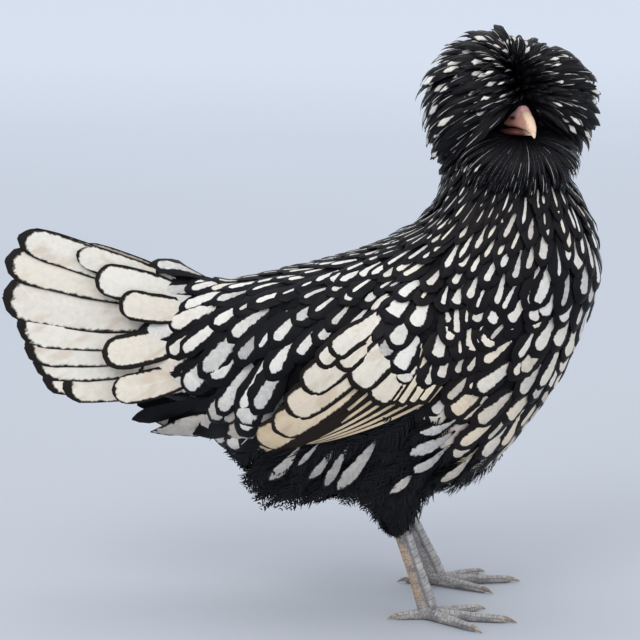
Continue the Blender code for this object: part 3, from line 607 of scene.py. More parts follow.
def inside_outline(x, z, outline):
    """Which places lie inside a closed outline of x and z."""
    inside = np.zeros(len(x), dtype=bool)
    corners = list(outline)
    for (ax, az), (bx, bz) in zip(corners, corners[1:] + corners[:1]):
        crosses = (az > z) != (bz > z)
        at = ax + (z - az) / ((bz - az) or 1e-9) * (bx - ax)
        inside ^= crosses & (x < at)
    return inside


def smoothed(mesh, rounds):
    verts = rows_of(mesh)
    edges = np.zeros(len(mesh.edges) * 2, dtype=np.int32)
    mesh.edges.foreach_get("vertices", edges)
    edges = edges.reshape(-1, 2)
    joined = np.bincount(edges.reshape(-1), minlength=len(verts))[:, None]
    for _ in range(rounds):
        total = np.zeros_like(verts)
        np.add.at(total, edges[:, 0], verts[edges[:, 1]])
        np.add.at(total, edges[:, 1], verts[edges[:, 0]])
        verts += (total / np.maximum(joined, 1) - verts) * 0.5
    mesh.vertices.foreach_set("co", verts.reshape(-1))
    mesh.update()


FLESH = ("torso", "neck", "head", "thigh_right", "thigh_left")

WING_CENTRE = np.array((45, 0, 165.0))
WING_RADII = np.array((152, 80, 97.0))
WING_OUTLINE = (
    (94, 206), (94, 180), (86, 162), (70, 149), (48, 146), (34, 158),
    (30, 176), (22, 196), (34, 222), (58, 236), (80, 228),
)
WING_MIDDLE = np.array((62.0, 188.0))

# The wing's mass as rings, each the outline's share and how far under the wing's surface it lies
WING_RINGS = ((1.04, 34), (1.04, 12), (0.94, 5.5), (0.78, 2.6), (0.55, 1.4), (0.3, 1.0))

# The tail's root inside its feathers, as x, top, bottom, half width there and at the bottom
TAIL_ROOT = (
    (-50, 214, 134, 8, 22), (-70, 222, 134, 9, 25), (-94, 228, 140, 8, 27), (-116, 228, 152, 4.5, 22),
    (-132, 225, 162, 2, 15),
)


def on_wing(x, z, side):
    """The wing's surface over x and z, in the drawing's millimetres, and the way it faces."""
    flat = ((x - WING_CENTRE[0]) / WING_RADII[0]) ** 2 + ((z - WING_CENTRE[2]) / WING_RADII[2]) ** 2
    y = side * WING_RADII[1] * np.sqrt(np.maximum(0.05, 1 - flat))
    at = np.stack([x, y, z], axis=-1)
    return at, unit((at - WING_CENTRE) / WING_RADII**2)


def bridged(bm, rings):
    """A closed form through rings, each a list of places."""
    loops, made = [], []
    for places in rings:
        ring = bmesh.ops.create_circle(bm, cap_ends=False, radius=1.0, segments=len(places))["verts"]
        for vert, place in zip(ring, places):
            vert.co = place
        loops.append(list({edge for vert in ring for edge in vert.link_edges}))
        made += ring
    faces = []
    for near, far in zip(loops, loops[1:]):
        faces += bmesh.ops.bridge_loops(bm, edges=near + far)["faces"]
    ends = [edge for edge in loops[0] + loops[-1] if edge.is_boundary]
    faces += bmesh.ops.holes_fill(bm, edges=ends, sides=0)["faces"]
    bmesh.ops.recalc_face_normals(bm, faces=faces)
    return made


def wing_mass(side):
    """Rings of the folded wing's outline, drawn in towards its middle as they rise."""
    rings = []
    for share, sink in WING_RINGS:
        ring = []
        for corner in WING_OUTLINE:
            x, z = WING_MIDDLE + (np.array(corner) - WING_MIDDLE) * share
            at, face = on_wing(x, z, side)
            ring.append(spot(*(at - face * sink)))
        rings.append(ring)
    return rings


def tail_root():
    rings = []
    for x, top, bottom, upper, lower in TAIL_ROOT:
        ring = []
        for k in range(20):
            turn = 2 * math.pi * k / 20
            high = (math.cos(turn) + 1) / 2
            half = lower + (upper - lower) * high
            across = math.copysign(abs(math.sin(turn)) ** 0.6, math.sin(turn))
            ring.append(spot(x, half * across, bottom + (top - bottom) * high))
        rings.append(ring)
    return rings


# The skin in millimetres: how far the solids are swollen before they are joined, the grain of the joined
# form, and how far it is then sunk so that feathers have room up to the solids' outside
SWELL = 0.6
GRAIN = 1.8
SINK, REAR_SINK, THIGH_SINK, BREAST_SINK = 4.6, 3.4, 3.6, 4.5


def joined_flesh():
    """Torso, neck, head and thighs with the wings' mass, the tail's root and the eyeballs, as one mesh."""
    whole = bmesh.new()
    for name in FLESH:
        part = bmesh.new()
        part.from_mesh(nodes[name].data)
        bmesh.ops.transform(part, matrix=nodes[name].matrix_world, verts=part.verts)
        bmesh.ops.remove_doubles(part, verts=part.verts, dist=1e-5)
        part.normal_update()
        for vert in part.verts:
            vert.co += vert.normal * SWELL * MM
        held = smooth_mesh("held", part)
        whole.from_mesh(held)
        bpy.data.meshes.remove(held)
    for rings in (wing_mass(-1), wing_mass(1), tail_root()):
        bridged(whole, rings)
    for sign in (-1, 1):
        socket = HEAD @ Matrix.Translation(eye_at(sign))
        bmesh.ops.create_icosphere(whole, subdivisions=3, radius=EYE_RADIUS - 0.4 * MM, matrix=socket)
    return smooth_mesh("skin", whole)


def make_skin():
    """One closed skin through the hen's flesh, a little inside the solids."""
    shape = bpy.data.objects.new("shape", joined_flesh())
    bpy.context.scene.collection.objects.link(shape)
    remesh = shape.modifiers.new("one skin", "REMESH")
    remesh.mode = "VOXEL"
    remesh.voxel_size = GRAIN * MM
    bpy.context.view_layer.update()
    skin = bpy.data.meshes.new_from_object(shape.evaluated_get(bpy.context.evaluated_depsgraph_get()))
    bpy.data.objects.remove(shape)
    smoothed(skin, 5)
    verts, normals = rows_of(skin), rows_of(skin, "normal")
    x, y, z = drawn(verts).T
    depth = np.where(x < -60, REAR_SINK, SINK)
    depth = np.where(z > 300, np.clip(SINK - (z - 300) * 0.5, 1.0, SINK), depth)
    depth = np.where((z < 118) & (np.abs(y) > 18) & (x > 15), THIGH_SINK, depth)
    depth += BREAST_SINK * ramp(x, 105, 30) * ramp(z, 222, -30)
    verts -= normals * depth[:, None] * MM
    skin.vertices.foreach_set("co", verts.reshape(-1))
    skin.update()
    smoothed(skin, 8)
    return skin


# Coat of the body


def laid_along(skin, roots, normals, ways, lengths, steps, lifts, droop=0.0, stiffness=0.7):
    """Centre lines that leave the roots and run along the skin, each higher above it towards its tip."""
    centres = np.zeros((len(roots), len(steps), 3))
    faces = np.zeros_like(centres)
    place, normal = roots.copy(), normals.copy()
    way = laid_flat(ways, normal)
    for k, step in enumerate(steps):
        if k:
            place, normal = skin.nearest(place + way * (lengths * (step - steps[k - 1]))[:, None])
            way = laid_flat(unit(way * stiffness + lie_at(place) * (1 - stiffness)), normal)
        height = -0.5 * MM * (1 - step) + lifts * step**0.85 - droop * lifts * max(0.0, step - 0.8) * 2
        centres[:, k] = place + normal * height[:, None]
        faces[:, k] = normal
    evened(centres)
    return centres, faces


def turned_ways(ways, normals, angles):
    across = np.cross(normals, ways)
    return ways * np.cos(angles)[:, None] + across * np.sin(angles)[:, None]


BODY_STEPS = np.array((0, 0.18, 0.34, 0.48, 0.6, 0.7, 0.79, 0.87, 0.93, 0.975, 1.0))
CROSS_GAP, LONG_GAP, LENGTH, WIDTH, POINT, WHITE, WARM = range(7)

# How many random places are tried for roots, where the coat ends, and where its regions meet
COAT_PLACES = 90000
COAT_FOOT, COAT_TOP, COAT_END = 84, 306, -116
NECK_Z, BREAST_X, SADDLE_X = 262, 100, 10

# The coat's tips lie in front of this, or higher than the tail's root
TIP_END, TAIL_TOP = -131, 218

# The part of a folded wing's side that its own long feathers cover, as x and z
FLIGHT_AREA = (
    (-12, 171), (-4, 177), (6, 176), (16, 173), (30, 168), (42, 161), (54, 157), (66, 153), (78, 152),
    (62, 145), (24, 133), (0, 123), (-24, 115), (-52, 113), (-56, 118), (-44, 131), (-30, 147), (-16, 168),
)


def under_wing(at, right=0, up=0):
    """Which places lie under the wing's long feathers, with the covered part moved by some millimetres."""
    return inside_outline(at[:, 0] - right, at[:, 2] - up, FLIGHT_AREA) & (np.abs(at[:, 1]) > 30)


def body_lifts(places, normals, lengths, draw):
    """How high the tips stand off the skin: flatter on the back and in front, higher behind the wing."""
    lifts = (2.8 + lengths / MM * 0.07) * MM * draw.uniform(0.85, 1.2, len(places))
    x, y, z = drawn(places).T
    up = normals[:, 2]
    lifts *= 1 - 0.45 * (ramp(up, 0.5, 0.4) * ramp(z, 265, -15)) * ramp(x, -62, 15)
    lifts *= 1 - 0.4 * (ramp(x, 100, 40) * ramp(z, 235, -30))
    lifts += 4.5 * MM * ramp(x, -50, -30) * (1 - ramp(up, 0.45, 0.3))
    behind_wing = np.exp(-(((x + 26) / 26) ** 2) - ((z - 165) / 30) ** 2)
    return lifts + 5.5 * MM * behind_wing * (np.abs(y) > 28)


def coat_of_body(skin):
    """Closed feathers from the neck to the tail's root, as pieces of the body's regions."""
    draw = np.random.default_rng(5)
    places, normals = skin.scattered(COAT_PLACES, draw)
    at = drawn(places)
    size = nearby(places, SIZES, 3)
    fluffy = fluffy_at(places, normals)
    keep = (fluffy < 0.5) & (at[:, 2] < COAT_TOP) & (at[:, 2] > COAT_FOOT)
    keep &= (at[:, 0] > COAT_END) & ((at[:, 0] > REAR_X) | (at[:, 2] > 168))
    places, normals, size, fluffy = picked(keep, places, normals, size, fluffy)
    lie = lie_at(places)
    loose = draw.uniform(0.85, 1.12, len(places))
    taken = thinned(places, size[:, CROSS_GAP] * loose * MM, lie, size[:, LONG_GAP] * 0.88 * loose * MM)
    places, normals, size, lie, fluffy = picked(taken, places, normals, size, lie, fluffy)
    lengths = size[:, LENGTH] * MM * draw.uniform(0.84, 1.12, len(places))
    ways = turned_ways(lie, normals, draw.normal(0, 0.2, len(places)))
    lifts = body_lifts(places, normals, lengths, draw)
    centres, faces = laid_along(skin, places, normals, ways, lengths, BODY_STEPS, lifts, 0.8)
    tip = drawn(centres[:, -1])
    seen = ~under_wing(tip) & ((tip[:, 0] > TIP_END) | (tip[:, 2] > TAIL_TOP))
    places, size, fluffy = picked(seen, places, size, fluffy)
    centres, faces, lengths = picked(seen, centres, faces, lengths)

    count = len(places)
    at = drawn(places)
    widths = size[:, WIDTH] * MM * draw.uniform(0.95, 1.3, count)
    on_neck = at[:, 2] > NECK_Z
    sharp = np.clip(size[:, POINT] * np.where(on_neck, 1, 0.6) + draw.normal(0, 0.12, count), 0, 1)
    points, out = blade_points(centres, faces, widths, sharpened(rounded, BODY_STEPS, sharp), 7, 0.22, draw)
    rim = np.clip(widths * 0.2, 0.95 * MM, 3.0 * MM) * draw.uniform(0.8, 1.4, count)
    white = size[:, WHITE] * draw.choice((0.4, 0.7, 0.92, 1.08), count, p=(0.14, 0.24, 0.4, 0.22))
    white = np.where((at[:, 0] < -36) & (fluffy < 0.3), np.maximum(white, 0.8), white)
    white = np.clip(white * (1 - 0.98 * ramp(fluffy, 0.28, 0.16)), 0.0, 1.05)
    half = np.maximum(widths / 2 - rim, 0.2 * MM) * (0.04 + 0.96 * white)
    middle = lengths * (0.76 - 0.14 * sharp)
    tip = np.maximum(lengths * (0.24 + 0.06 * sharp) - rim * 1.3, 0.6 * MM) * (0.55 + 0.45 * white)
    root = lengths * draw.uniform(0.6, 1.3, count)
    mark = marks(out, lengths, BODY_STEPS, half, tip, root, middle, draw.uniform(0.1, 0.6, count))
    maps = maps_of(mark, out, lengths, BODY_STEPS)
    warm = np.clip(size[:, WARM] + draw.normal(0, 0.14, count), 0, 1)
    dull = np.clip(draw.normal(0.13, 0.2, count) + 0.2 * (at[:, 2] > 265), 0, 0.75)
    tone = np.stack([draw.random(count), warm, dull], axis=1)
    regions = {
        "neck_feathers": on_neck,
        "breast_feathers": ~on_neck & (at[:, 0] > BREAST_X),
        "shoulder_feathers": ~on_neck & (at[:, 0] <= BREAST_X) & (at[:, 0] > SADDLE_X),
        "saddle_feathers": ~on_neck & (at[:, 0] <= SADDLE_X),
    }
    for name, inside in regions.items():
        held = {key: values[inside] for key, values in maps.items()}
        material = hackle_plumage if name == "neck_feathers" else body_plumage
        joined_sheets(name, points[inside], held, tone[inside], places[inside], material)


BARB_STEPS = np.array((0.0, 0.5, 1.0))
FLUFF_STEPS = np.array((0, 0.25, 0.5, 0.75, 1.0))
BARBS_PER_SIDE = 13
REAR_BARB, BELLY_BARB = 1.5, 1.1
FLUFF_PLACES = 30000
FLUFF_TOP, FLUFF_END = 196, -124
THIGH_GAP, BELLY_GAP, REAR_GAP = 4.6, 6.4, 4.0

# How much further the fluff stands off under the belly, and how far it sags there
FLUFF_HANG, FLUFF_SAG = 13, 10


def barbs_of(centres, faces, widths, draw, per_side):
    """The loose barbs of downy feathers: short bent lines that leave each shaft on both sides."""
    count, rows = centres.shape[:2]
    at = np.linspace(0.12, 1.0, per_side)
    where = at * (rows - 1)
    low = np.minimum(where.astype(int), rows - 2)
    part = (where - low)[None, :, None]
    base = centres[:, low] * (1 - part) + centres[:, low + 1] * part
    face = faces[:, low]
    along = unit(centres[:, low + 1] - centres[:, low])
    across = unit(np.cross(along, face))
    bow = np.sin(np.clip(at * 1.02, 0, 1) * math.pi) ** 0.5 * 0.75 + 0.25
    each = (count, per_side, 1)
    lines, normals, sizes = [], [], []
    for side in (-1, 1):
        slant = draw.uniform(0.75, 1.25, each)
        long = widths[:, None, None] * 0.62 * bow[None, :, None] * draw.uniform(0.75, 1.25, each)
        first = unit(along + across * side * slant + face * draw.normal(0.08, 0.22, each))
        second = unit(along * 1.3 + across * side * slant * 0.6 + face * draw.normal(0, 0.3, each))
        middle = base + first * long * 0.55
        end = middle + second * long * 0.6
        lines.append(np.stack([base, middle, end], axis=2).reshape(-1, 3, 3))
        normals.append(np.repeat(face[:, :, None], 3, axis=2).reshape(-1, 3, 3))
        sizes.append(long.reshape(-1))
    return np.concatenate(lines), np.concatenate(normals), np.concatenate(sizes)


def fluff_of_belly(skin):
    """Black fluff on belly, thighs and under the tail, of loose barbs on soft shafts."""
    draw = np.random.default_rng(8)
    places, normals = skin.scattered(FLUFF_PLACES, draw)
    at = drawn(places)
    keep = (fluffy_at(places, normals) > 0.5) & (at[:, 2] < FLUFF_TOP) & (at[:, 0] > FLUFF_END)
    keep &= ~under_wing(at, 8, 6)
    places, normals, at = picked(keep, places, normals, at)
    gaps = np.where((at[:, 2] < 112) & (at[:, 0] > 15) & (at[:, 0] < 85), THIGH_GAP, BELLY_GAP) * MM
    gaps = np.where((at[:, 0] < 4) & (normals[:, 2] < -0.2), REAR_GAP * MM, gaps)
    places, normals, at = picked(thinned(places, gaps), places, normals, at)
    count = len(places)
    low = ramp(at[:, 2], 112, -40)
    lengths = (26 - 9 * low) * MM * draw.uniform(0.85, 1.2, count)
    widths = (15 - 6 * low) * MM * draw.uniform(0.9, 1.2, count)
    ways = turned_ways(lie_at(places), normals, draw.normal(0, 0.25, count))
    lifts = (6.5 - 2.5 * low) * MM * draw.uniform(0.7, 1.25, count)
    hangs = np.exp(-(((at[:, 0] + 18) / 32) ** 2)) * ramp(normals[:, 2], -0.25, -0.4)
    hangs *= ramp(at[:, 0], -50, 14)
    lifts += FLUFF_HANG * MM * hangs * draw.uniform(0.0, 1.05, count)
    lengths += 8 * MM * hangs
    behind = ramp(at[:, 0], -46, -16) * (at[:, 2] < 160)
    lengths *= 1 - 0.5 * behind
    lifts *= 1 - 0.6 * behind
    centres, faces = laid_along(skin, places, normals, ways, lengths, FLUFF_STEPS, lifts, stiffness=0.8)
    centres[:, :, 2] -= (FLUFF_SAG * MM * hangs)[:, None] * FLUFF_STEPS[None, :] ** 2
    tip = drawn(centres[:, -1])
    within = (tip[:, 2] > 119) | (tip[:, 0] > -62 + 0.42 * np.clip(113 - tip[:, 2], 0, 40))
    lines, line_faces, long = barbs_of(*picked(within, centres, faces, widths), draw, BARBS_PER_SIDE)
    wide = np.where(lines[:, 0, 0] - shift[0] < 8 * MM, REAR_BARB * MM, BELLY_BARB * MM)
    wide *= draw.uniform(0.7, 1.3, len(lines))
    shape = np.tile(np.array((1.0, 0.8, 0.15)), (len(lines), 1))
    points, out = blade_points(lines, line_faces, wide, shape, 2, 0.0, draw, 0.0)
    tone = np.stack([draw.random(len(lines)), np.zeros(len(lines)), np.full(len(lines), 0.2)], axis=1)
    maps = maps_of(None, out, long, BARB_STEPS)
    joined_sheets("belly_fluff", points, maps, tone, lines[:, 0], down)


# Single feathers that hang loose over the fluff of flank and belly, as x and z of root and tip, then width,
# bow, lift, how grey and how warm they are. A grey of 2 is all black.
LOOSE = (
    ((-10, 121), (-29, 98), 9, 0, 11, 0.45, 0.3), ((12, 121), (-6, 99.5), 7, 0, 10, 0.6, 0.1),
    ((20, 123), (4, 95), 7.5, 0, 10, 0.6, 0.15), ((38, 128), (14, 94.5), 10, 0, 11, 0.5, 0.2),
    ((2, 124), (-13, 108), 5, 0, 9, 0.7, 0.1), ((85, 130), (55.6, 117), 9.5, 0.02, 9, 0.45, 0.0),
    ((80, 119), (55.6, 105.4), 8.5, 0.02, 9, 0.4, 0.1), ((87, 139), (61, 132), 8, 0.06, 8, 0.35, 0.0),
    ((96, 112), (74, 99), 9, 0, 9, 0.35, 0.5), ((60, 104), (44, 90), 7, 0, 9, 0.5, 0.4),
    ((-66, 146), (-118, 131), 13, 0.03, 5, 2, 0.0), ((-44, 144), (-104, 124), 19, 0.10, 8, 0.35, 0.45),
    ((-20, 152), (-56, 121), 17, 0.03, 6, 0.5, 0.7), ((-28, 160), (-64, 131), 15, 0.03, 5, 0.55, 0.6),
    ((-58, 150), (-94, 126), 16, 0.04, 7, 2, 0.0), ((-36, 140), (-78, 122), 15, 0.06, 6, 2, 0.0),
)


def loose_feathers(skin):
    """Both sides' single feathers, each laid over the skin between its root and tip."""
    draw = np.random.default_rng(17)
    steps = FLIGHT_STEPS
    count = len(LOOSE) * 2
    centres, faces = np.zeros((2, count, len(steps), 3))
    lengths, widths = np.zeros((2, count))
    tone, black = np.zeros((count, 3)), np.zeros(count, dtype=bool)
    for i in range(count):
        (ax, az), (bx, bz), width, bow, lift, grey, warm = LOOSE[i // 2]
        side = -1 if i % 2 else 1
        out, face = 40.0, Vector((0, side, 0))
        for k, step in enumerate(steps):
            x, z = ax + (bx - ax) * step, az + (bz - az) * step
            z -= bow * abs(bx - ax) * math.sin(step * math.pi)
            hit, _, found, _ = skin.tree.ray_cast(spot(x, side * 150, z), Vector((0, -side, 0)))
            if hit is not None and (hit.y - SHIFT.y) * side > 12 * MM:
                out = (hit.y - SHIFT.y) * side / MM
                face = Vector(skin.normals[found])
            faces[i, k] = face
            centres[i, k] = spot(x, side * out, z) + face * (lift * (0.3 + 0.7 * min(1.0, step * 2))) * MM
        lengths[i] = math.hypot(bx - ax, bz - az) * MM
        widths[i] = width * MM
        black[i] = grey > 1
        tone[i] = draw.random(), warm, min(grey + 0.15, 0.8)
    for _ in range(3):
        evened(centres)
        evened(faces)
    shapes = np.tile(lens(steps), (count, 1))
    points, out = blade_points(centres, unit(faces), widths, shapes, 9, 0.1, draw, 0.04, 0.2 * MM)
    half = widths / 2 - 0.7 * MM
    mark = marks(out, lengths, steps, half, lengths * 0.34 - 0.8 * MM, lengths * 0.6, lengths * 0.64, 0.45)
    mark[black] = NO_MARK
    maps = maps_of(mark, out, lengths, steps)
    joined_sheets("flank_feathers", points, maps, tone, centres[:, 0], body_plumage)


# Crest and beard


class Globe:
    """A ball of plumes in the head's own frame: its centre and radii, how far it hangs, and its core."""

    def __init__(self, centre, radii, hang, core_centre, core_radii):
        self.centre, self.radii = np.array(centre) * MM, np.array(radii) * MM
        self.core_centre, self.core_radii = np.array(core_centre) * MM, np.array(core_radii) * MM
        self.hang = hang

    def tip(self, way):
        off = way * self.radii
        off[..., 2] = np.where(way[..., 2] < 0, off[..., 2] * self.hang, off[..., 2])
        return self.centre + off

    def start(self, way):
        return self.core_centre + way * self.core_radii * 0.72


CREST = Globe((-9, 3, 10), (51, 57, 48), 1.3, (-13, 0, 11), (23, 24, 21))
BEARD = Globe((11, 1, -27), (33, 40, 30), 1.0, (12, 0, -17), (14, 20, 11))

# How many random ways are tried for plumes, how far apart they stay in radians, how many degrees they sweep,
# and the least room in millimetres between a plume and the skin
CREST_WAYS, BEARD_WAYS = 24000, 20000
PLUME_GAP = 0.09
CREST_SWEEP, BEARD_SWEEP = 58, 62
PLUME_ROOM = 0.3

# The partings that plumes run away from, from end to end
CREST_PARTING = np.array(((0.76, -0.10, 0.64), (0.98, -0.03, 0.14)))
BEARD_PARTING = np.array(((0.72, 0.0, 0.69), (0.50, 0.0, 0.86)))

# The plane between crest and beard, as a place in it and the way up from it
CREST_CUT = (np.array((0, 0, -18.3)) * MM, unit(np.array((-0.31, 0, 0.95))))


def ways_round(count, gap, draw):
    """Even directions on a sphere, each at least gap apart, in radians."""
    ways = unit(draw.standard_normal((count, 3)))
    return ways[thinned(ways, np.full(count, gap))]


def off_parting(ways, parting):
    """For each way the nearest point of the parting that feathers run away from, and how far it is."""
    parting = unit(parting)
    span = parting[1] - parting[0]
    share = np.clip(((ways - parting[0]) @ span) / (span @ span), 0, 1)
    from_way = unit(parting[0] + share[:, None] * span)
    return from_way, np.arccos(np.clip((from_way * ways).sum(axis=1), -1, 1))


def about(ways, axes, angles):
    """Ways turned about axes by angles."""
    c, s = np.cos(angles)[:, None], np.sin(angles)[:, None]
    return ways * c + np.cross(axes, ways) * s + axes * (axes * ways).sum(axis=1, keepdims=True) * (1 - c)


def globe_plumes(globe, ways, parting, sweep, steps, reach):
    """Centre lines from a core out to the globe, each sweeping away from the parting."""
    from_way, far = off_parting(ways, parting)
    axes = unit(np.cross(ways, from_way))
    swing = np.minimum(math.radians(sweep), 0.85 * far)
    centres = np.zeros((len(ways), len(steps), 3))
    for k, step in enumerate(steps):
        way = about(ways, axes, swing * (1 - step))
        end = globe.centre + (globe.tip(way) - globe.centre) * reach[:, None]
        out = 0.88 * (1 - (1 - step) ** 2.1) + 0.12 * step
        centres[:, k] = globe.start(way) * (1 - out) + end * out
    faces = unit(np.cross(axes[:, None, :], directions(centres)))
    faces *= np.sign((faces[:, (len(steps) - 1) // 2] * ways).sum(axis=1))[:, None, None]
    return moved(HEAD, centres), faces @ np.array(HEAD.to_3x3()).T, far


def lengths_of(lines):
    return np.linalg.norm(np.diff(lines, axis=1), axis=2).sum(axis=1)


# The room left free round the bill and above its knob, in the head's own frame: centre and half sizes
BILL_ROOM = (((26, -1, -5.0), (22, 17, 10.5)), ((27, -1.0, 5.0), (14, 9.5, 8.0)))


def clear_of(skin, centres):
    """Which centre lines stay outside the skin over their outer part, and out of the room round the bill."""
    clear = np.ones(len(centres), dtype=bool)
    steps = centres.shape[1]
    at = moved(HEAD_IN, centres) / MM
    for middle, half in BILL_ROOM:
        off = (at - np.array(middle)) / np.array(half)
        clear &= ~((np.abs(off) ** 3).sum(axis=2) < 1)[:, steps // 4 :].any(axis=1)
    for k in range(steps // 2, steps):
        near, normals = skin.nearest(centres[:, k])
        clear &= ((centres[:, k] - near) * normals).sum(axis=1) > PLUME_ROOM * MM
    return clear


CREST_STEPS = np.array((0, 0.2, 0.38, 0.53, 0.65, 0.75, 0.83, 0.9, 0.95, 1.0))
PLAIN_BY_PARTING, PLAIN_FADE = math.radians(17), math.radians(14)


def make_crest_coat(skin):
    """Plumes of the crest in layers, pointed and plain near the parting and pale in places further off."""
    draw = np.random.default_rng(12)
    ways = ways_round(CREST_WAYS, PLUME_GAP, draw)
    tips = CREST.tip(ways)
    above = (tips - CREST_CUT[0]) @ CREST_CUT[1]
    from_bill = np.hypot(tips[:, 1], (tips[:, 2] - 1 * MM) * 0.9)
    keep = ((above > -3 * MM) | (tips[:, 0] < -6 * MM)) & (tips[:, 2] > -52 * MM)
    keep &= (tips[:, 0] < 8 * MM) | (from_bill > 11 * MM)
    ways, tips = picked(keep, ways, tips)
    count = len(ways)
    reach = draw.choice((0.9, 0.95, 0.99, 1.03, 1.07), count, p=(0.15, 0.28, 0.35, 0.15, 0.07))
    reach *= draw.uniform(0.985, 1.015, count)
    reach *= 1 - 0.15 * ramp(ways[:, 2], 0.35, 0.4) * ramp(ways[:, 1], -0.3, 0.4)
    centres, faces, far = globe_plumes(CREST, ways, CREST_PARTING, CREST_SWEEP, CREST_STEPS, reach)
    sag = (draw.uniform(0, 3.0, count) + 5 * ramp(far, 1.0, 0.8) * (tips[:, 2] < 15 * MM)) * MM
    centres[:, :, 2] -= sag[:, None] * CREST_STEPS[None, :] ** 3
    centres, faces, far, tips = picked(clear_of(skin, centres), centres, faces, far, tips)

    count = len(centres)
    lengths = lengths_of(centres)
    near = ramp(far, 0.85, -0.45)
    widths = draw.uniform(5.4, 8.4, count) * MM * (1 - 0.5 * near)
    shapes = sharpened(lens, CREST_STEPS, np.maximum(draw.uniform(0.2, 1.0, count), near))
    points, out = blade_points(centres, faces, widths, shapes, 5, 0.25, draw, 0.12)
    high = ramp(tips[:, 2], 22 * MM, 14 * MM)
    open_face = np.clip((far - PLAIN_BY_PARTING) / PLAIN_FADE + 0.7 * high, 0, 1)
    marked = draw.random(count) < 0.3 * open_face
    streaked = draw.random(count) < 0.65 * open_face
    half = np.where(marked, widths * draw.uniform(0.2, 0.42, count), np.where(streaked, 0.26 * MM, 0.02 * MM))
    tip = np.where(marked, 5.0 * MM * draw.uniform(0.7, 1.3, count), 5.5 * MM)
    root = np.where(marked, 8.0 * MM * draw.uniform(0.6, 1.4, count), 13 * MM)
    middle = lengths - np.where(marked, 7.6, 6.5) * MM
    off_shaft = np.where(marked, 0, draw.uniform(-1, 1, count) * widths * 0.3)
    mark = marks(out - off_shaft[:, None, None], lengths, CREST_STEPS, half, tip, root, middle, 0.5)
    maps = maps_of(mark, out, lengths, CREST_STEPS)
    dull = np.where(marked, draw.uniform(0, 0.55, count), draw.uniform(0.3, 0.85, count))
    tone = np.stack([draw.random(count), draw.uniform(0, 0.25, count), dull], axis=1)
    joined_sheets(
        "crest_feathers", points, maps, tone, centres[:, -1], crest_plumage, ("crest",)
    )


FACE_STEPS = np.array((0, 0.35, 0.7, 1.0))
FACE_PLACES = 60000
FACE_GAP = 2.5
EYE_OPENING = 8.2


def make_face_coat(skin):
    """Tiny black feathers on the face, lying back from the bill and open round the eyes."""
    draw = np.random.default_rng(29)
    places, normals = skin.scattered(FACE_PLACES, draw)
    at = moved(HEAD_IN, places) / MM
    keep = (at[:, 0] > -6) & (np.abs(at[:, 1]) < 30) & (at[:, 2] > -24) & (at[:, 2] < 26)
    from_eye = np.stack([at[:, 0], np.abs(at[:, 1]), at[:, 2]], axis=1) - np.array(EYE_PLACE) / MM
    keep &= np.linalg.norm(from_eye, axis=1) > EYE_OPENING
    keep &= ~((at[:, 0] > 9) & (np.abs(at[:, 1]) < 10) & (np.abs(at[:, 2] + 2) < 10))
    places, normals, at = picked(keep, places, normals, at)
    taken = thinned(places, np.full(len(places), FACE_GAP * MM))
    places, normals, at = picked(taken, places, normals, at)
    count = len(places)
    from_bill = unit(at - np.array((24.0, 0, -1.0))) @ np.array(HEAD_IN.to_3x3())
    ways = turned_ways(laid_flat(from_bill, normals), normals, draw.normal(0, 0.2, count))
    lengths = draw.uniform(6, 8.5, count) * MM
    lifts = draw.uniform(1.2, 2.2, count) * MM
    centres = np.zeros((count, len(FACE_STEPS), 3))
    for k, step in enumerate(FACE_STEPS):
        near, face = skin.nearest(places + ways * (lengths * step)[:, None])
        centres[:, k] = near + face * (lifts * (step - 0.2))[:, None]
    faces = np.repeat(normals[:, None, :], len(FACE_STEPS), axis=1)
    widths = draw.uniform(2.6, 3.6, count) * MM
    shapes = np.tile(np.array((0.6, 1.0, 0.8, 0.1)), (count, 1))
    points, out = blade_points(centres, faces, widths, shapes, 3, 0.3, draw, 0.1)
    tone = np.stack([draw.random(count), np.zeros(count), np.full(count, 0.3)], axis=1)
    maps = maps_of(None, out, lengths, FACE_STEPS)
    joined_sheets("face_feathers", points, maps, tone, places, crest_plumage)


BEARD_STEPS = np.array((0, 0.25, 0.45, 0.62, 0.76, 0.88, 1.0))


def make_beard_coat(skin):
    """Narrow pointed plumes of beard and muffs, nearly all black."""
    draw = np.random.default_rng(21)
    ways = ways_round(BEARD_WAYS, PLUME_GAP, draw)
    below = (CREST_CUT[0] - BEARD.tip(ways)) @ CREST_CUT[1]
    ways = ways[(below > -2 * MM) & (ways[:, 0] > -0.6)]
    count = len(ways)
    reach = draw.choice((0.9, 0.96, 1.0), count, p=(0.2, 0.3, 0.5)) * draw.uniform(0.97, 1.05, count)
    centres, faces, _ = globe_plumes(BEARD, ways, BEARD_PARTING, BEARD_SWEEP, BEARD_STEPS, reach)
    centres, faces = picked(clear_of(skin, centres), centres, faces)

    count = len(centres)
    lengths = lengths_of(centres)
    widths = draw.uniform(3.4, 5.0, count) * MM
    shapes = np.tile(pointed(BEARD_STEPS), (count, 1))
    points, out = blade_points(centres, faces, widths, shapes, 5, 0.25, draw, 0.12)
    marked = draw.random(count) < 0.03
    streaked = draw.random(count) < 0.4
    half = np.where(marked, 0.75 * MM, np.where(streaked, 0.19 * MM, 0.02 * MM))
    tip = np.where(marked, 3.0, 6.0) * MM
    root = np.where(marked, 5.5, 24.0) * MM
    middle = lengths - np.where(marked, 5.5, 9.0) * MM
    mark = marks(out, lengths, BEARD_STEPS, half, tip, root, middle, 0.4)
    maps = maps_of(mark, out, lengths, BEARD_STEPS)
    dull = np.where(marked, 0.15, draw.uniform(0.45, 0.95, count))
    tone = np.stack([draw.random(count), draw.uniform(0, 0.2, count), dull], axis=1)
    joined_sheets(
        "beard_feathers", points, maps, tone, centres[:, -1], crest_plumage, ("beard",)
    )


# Wings and tail


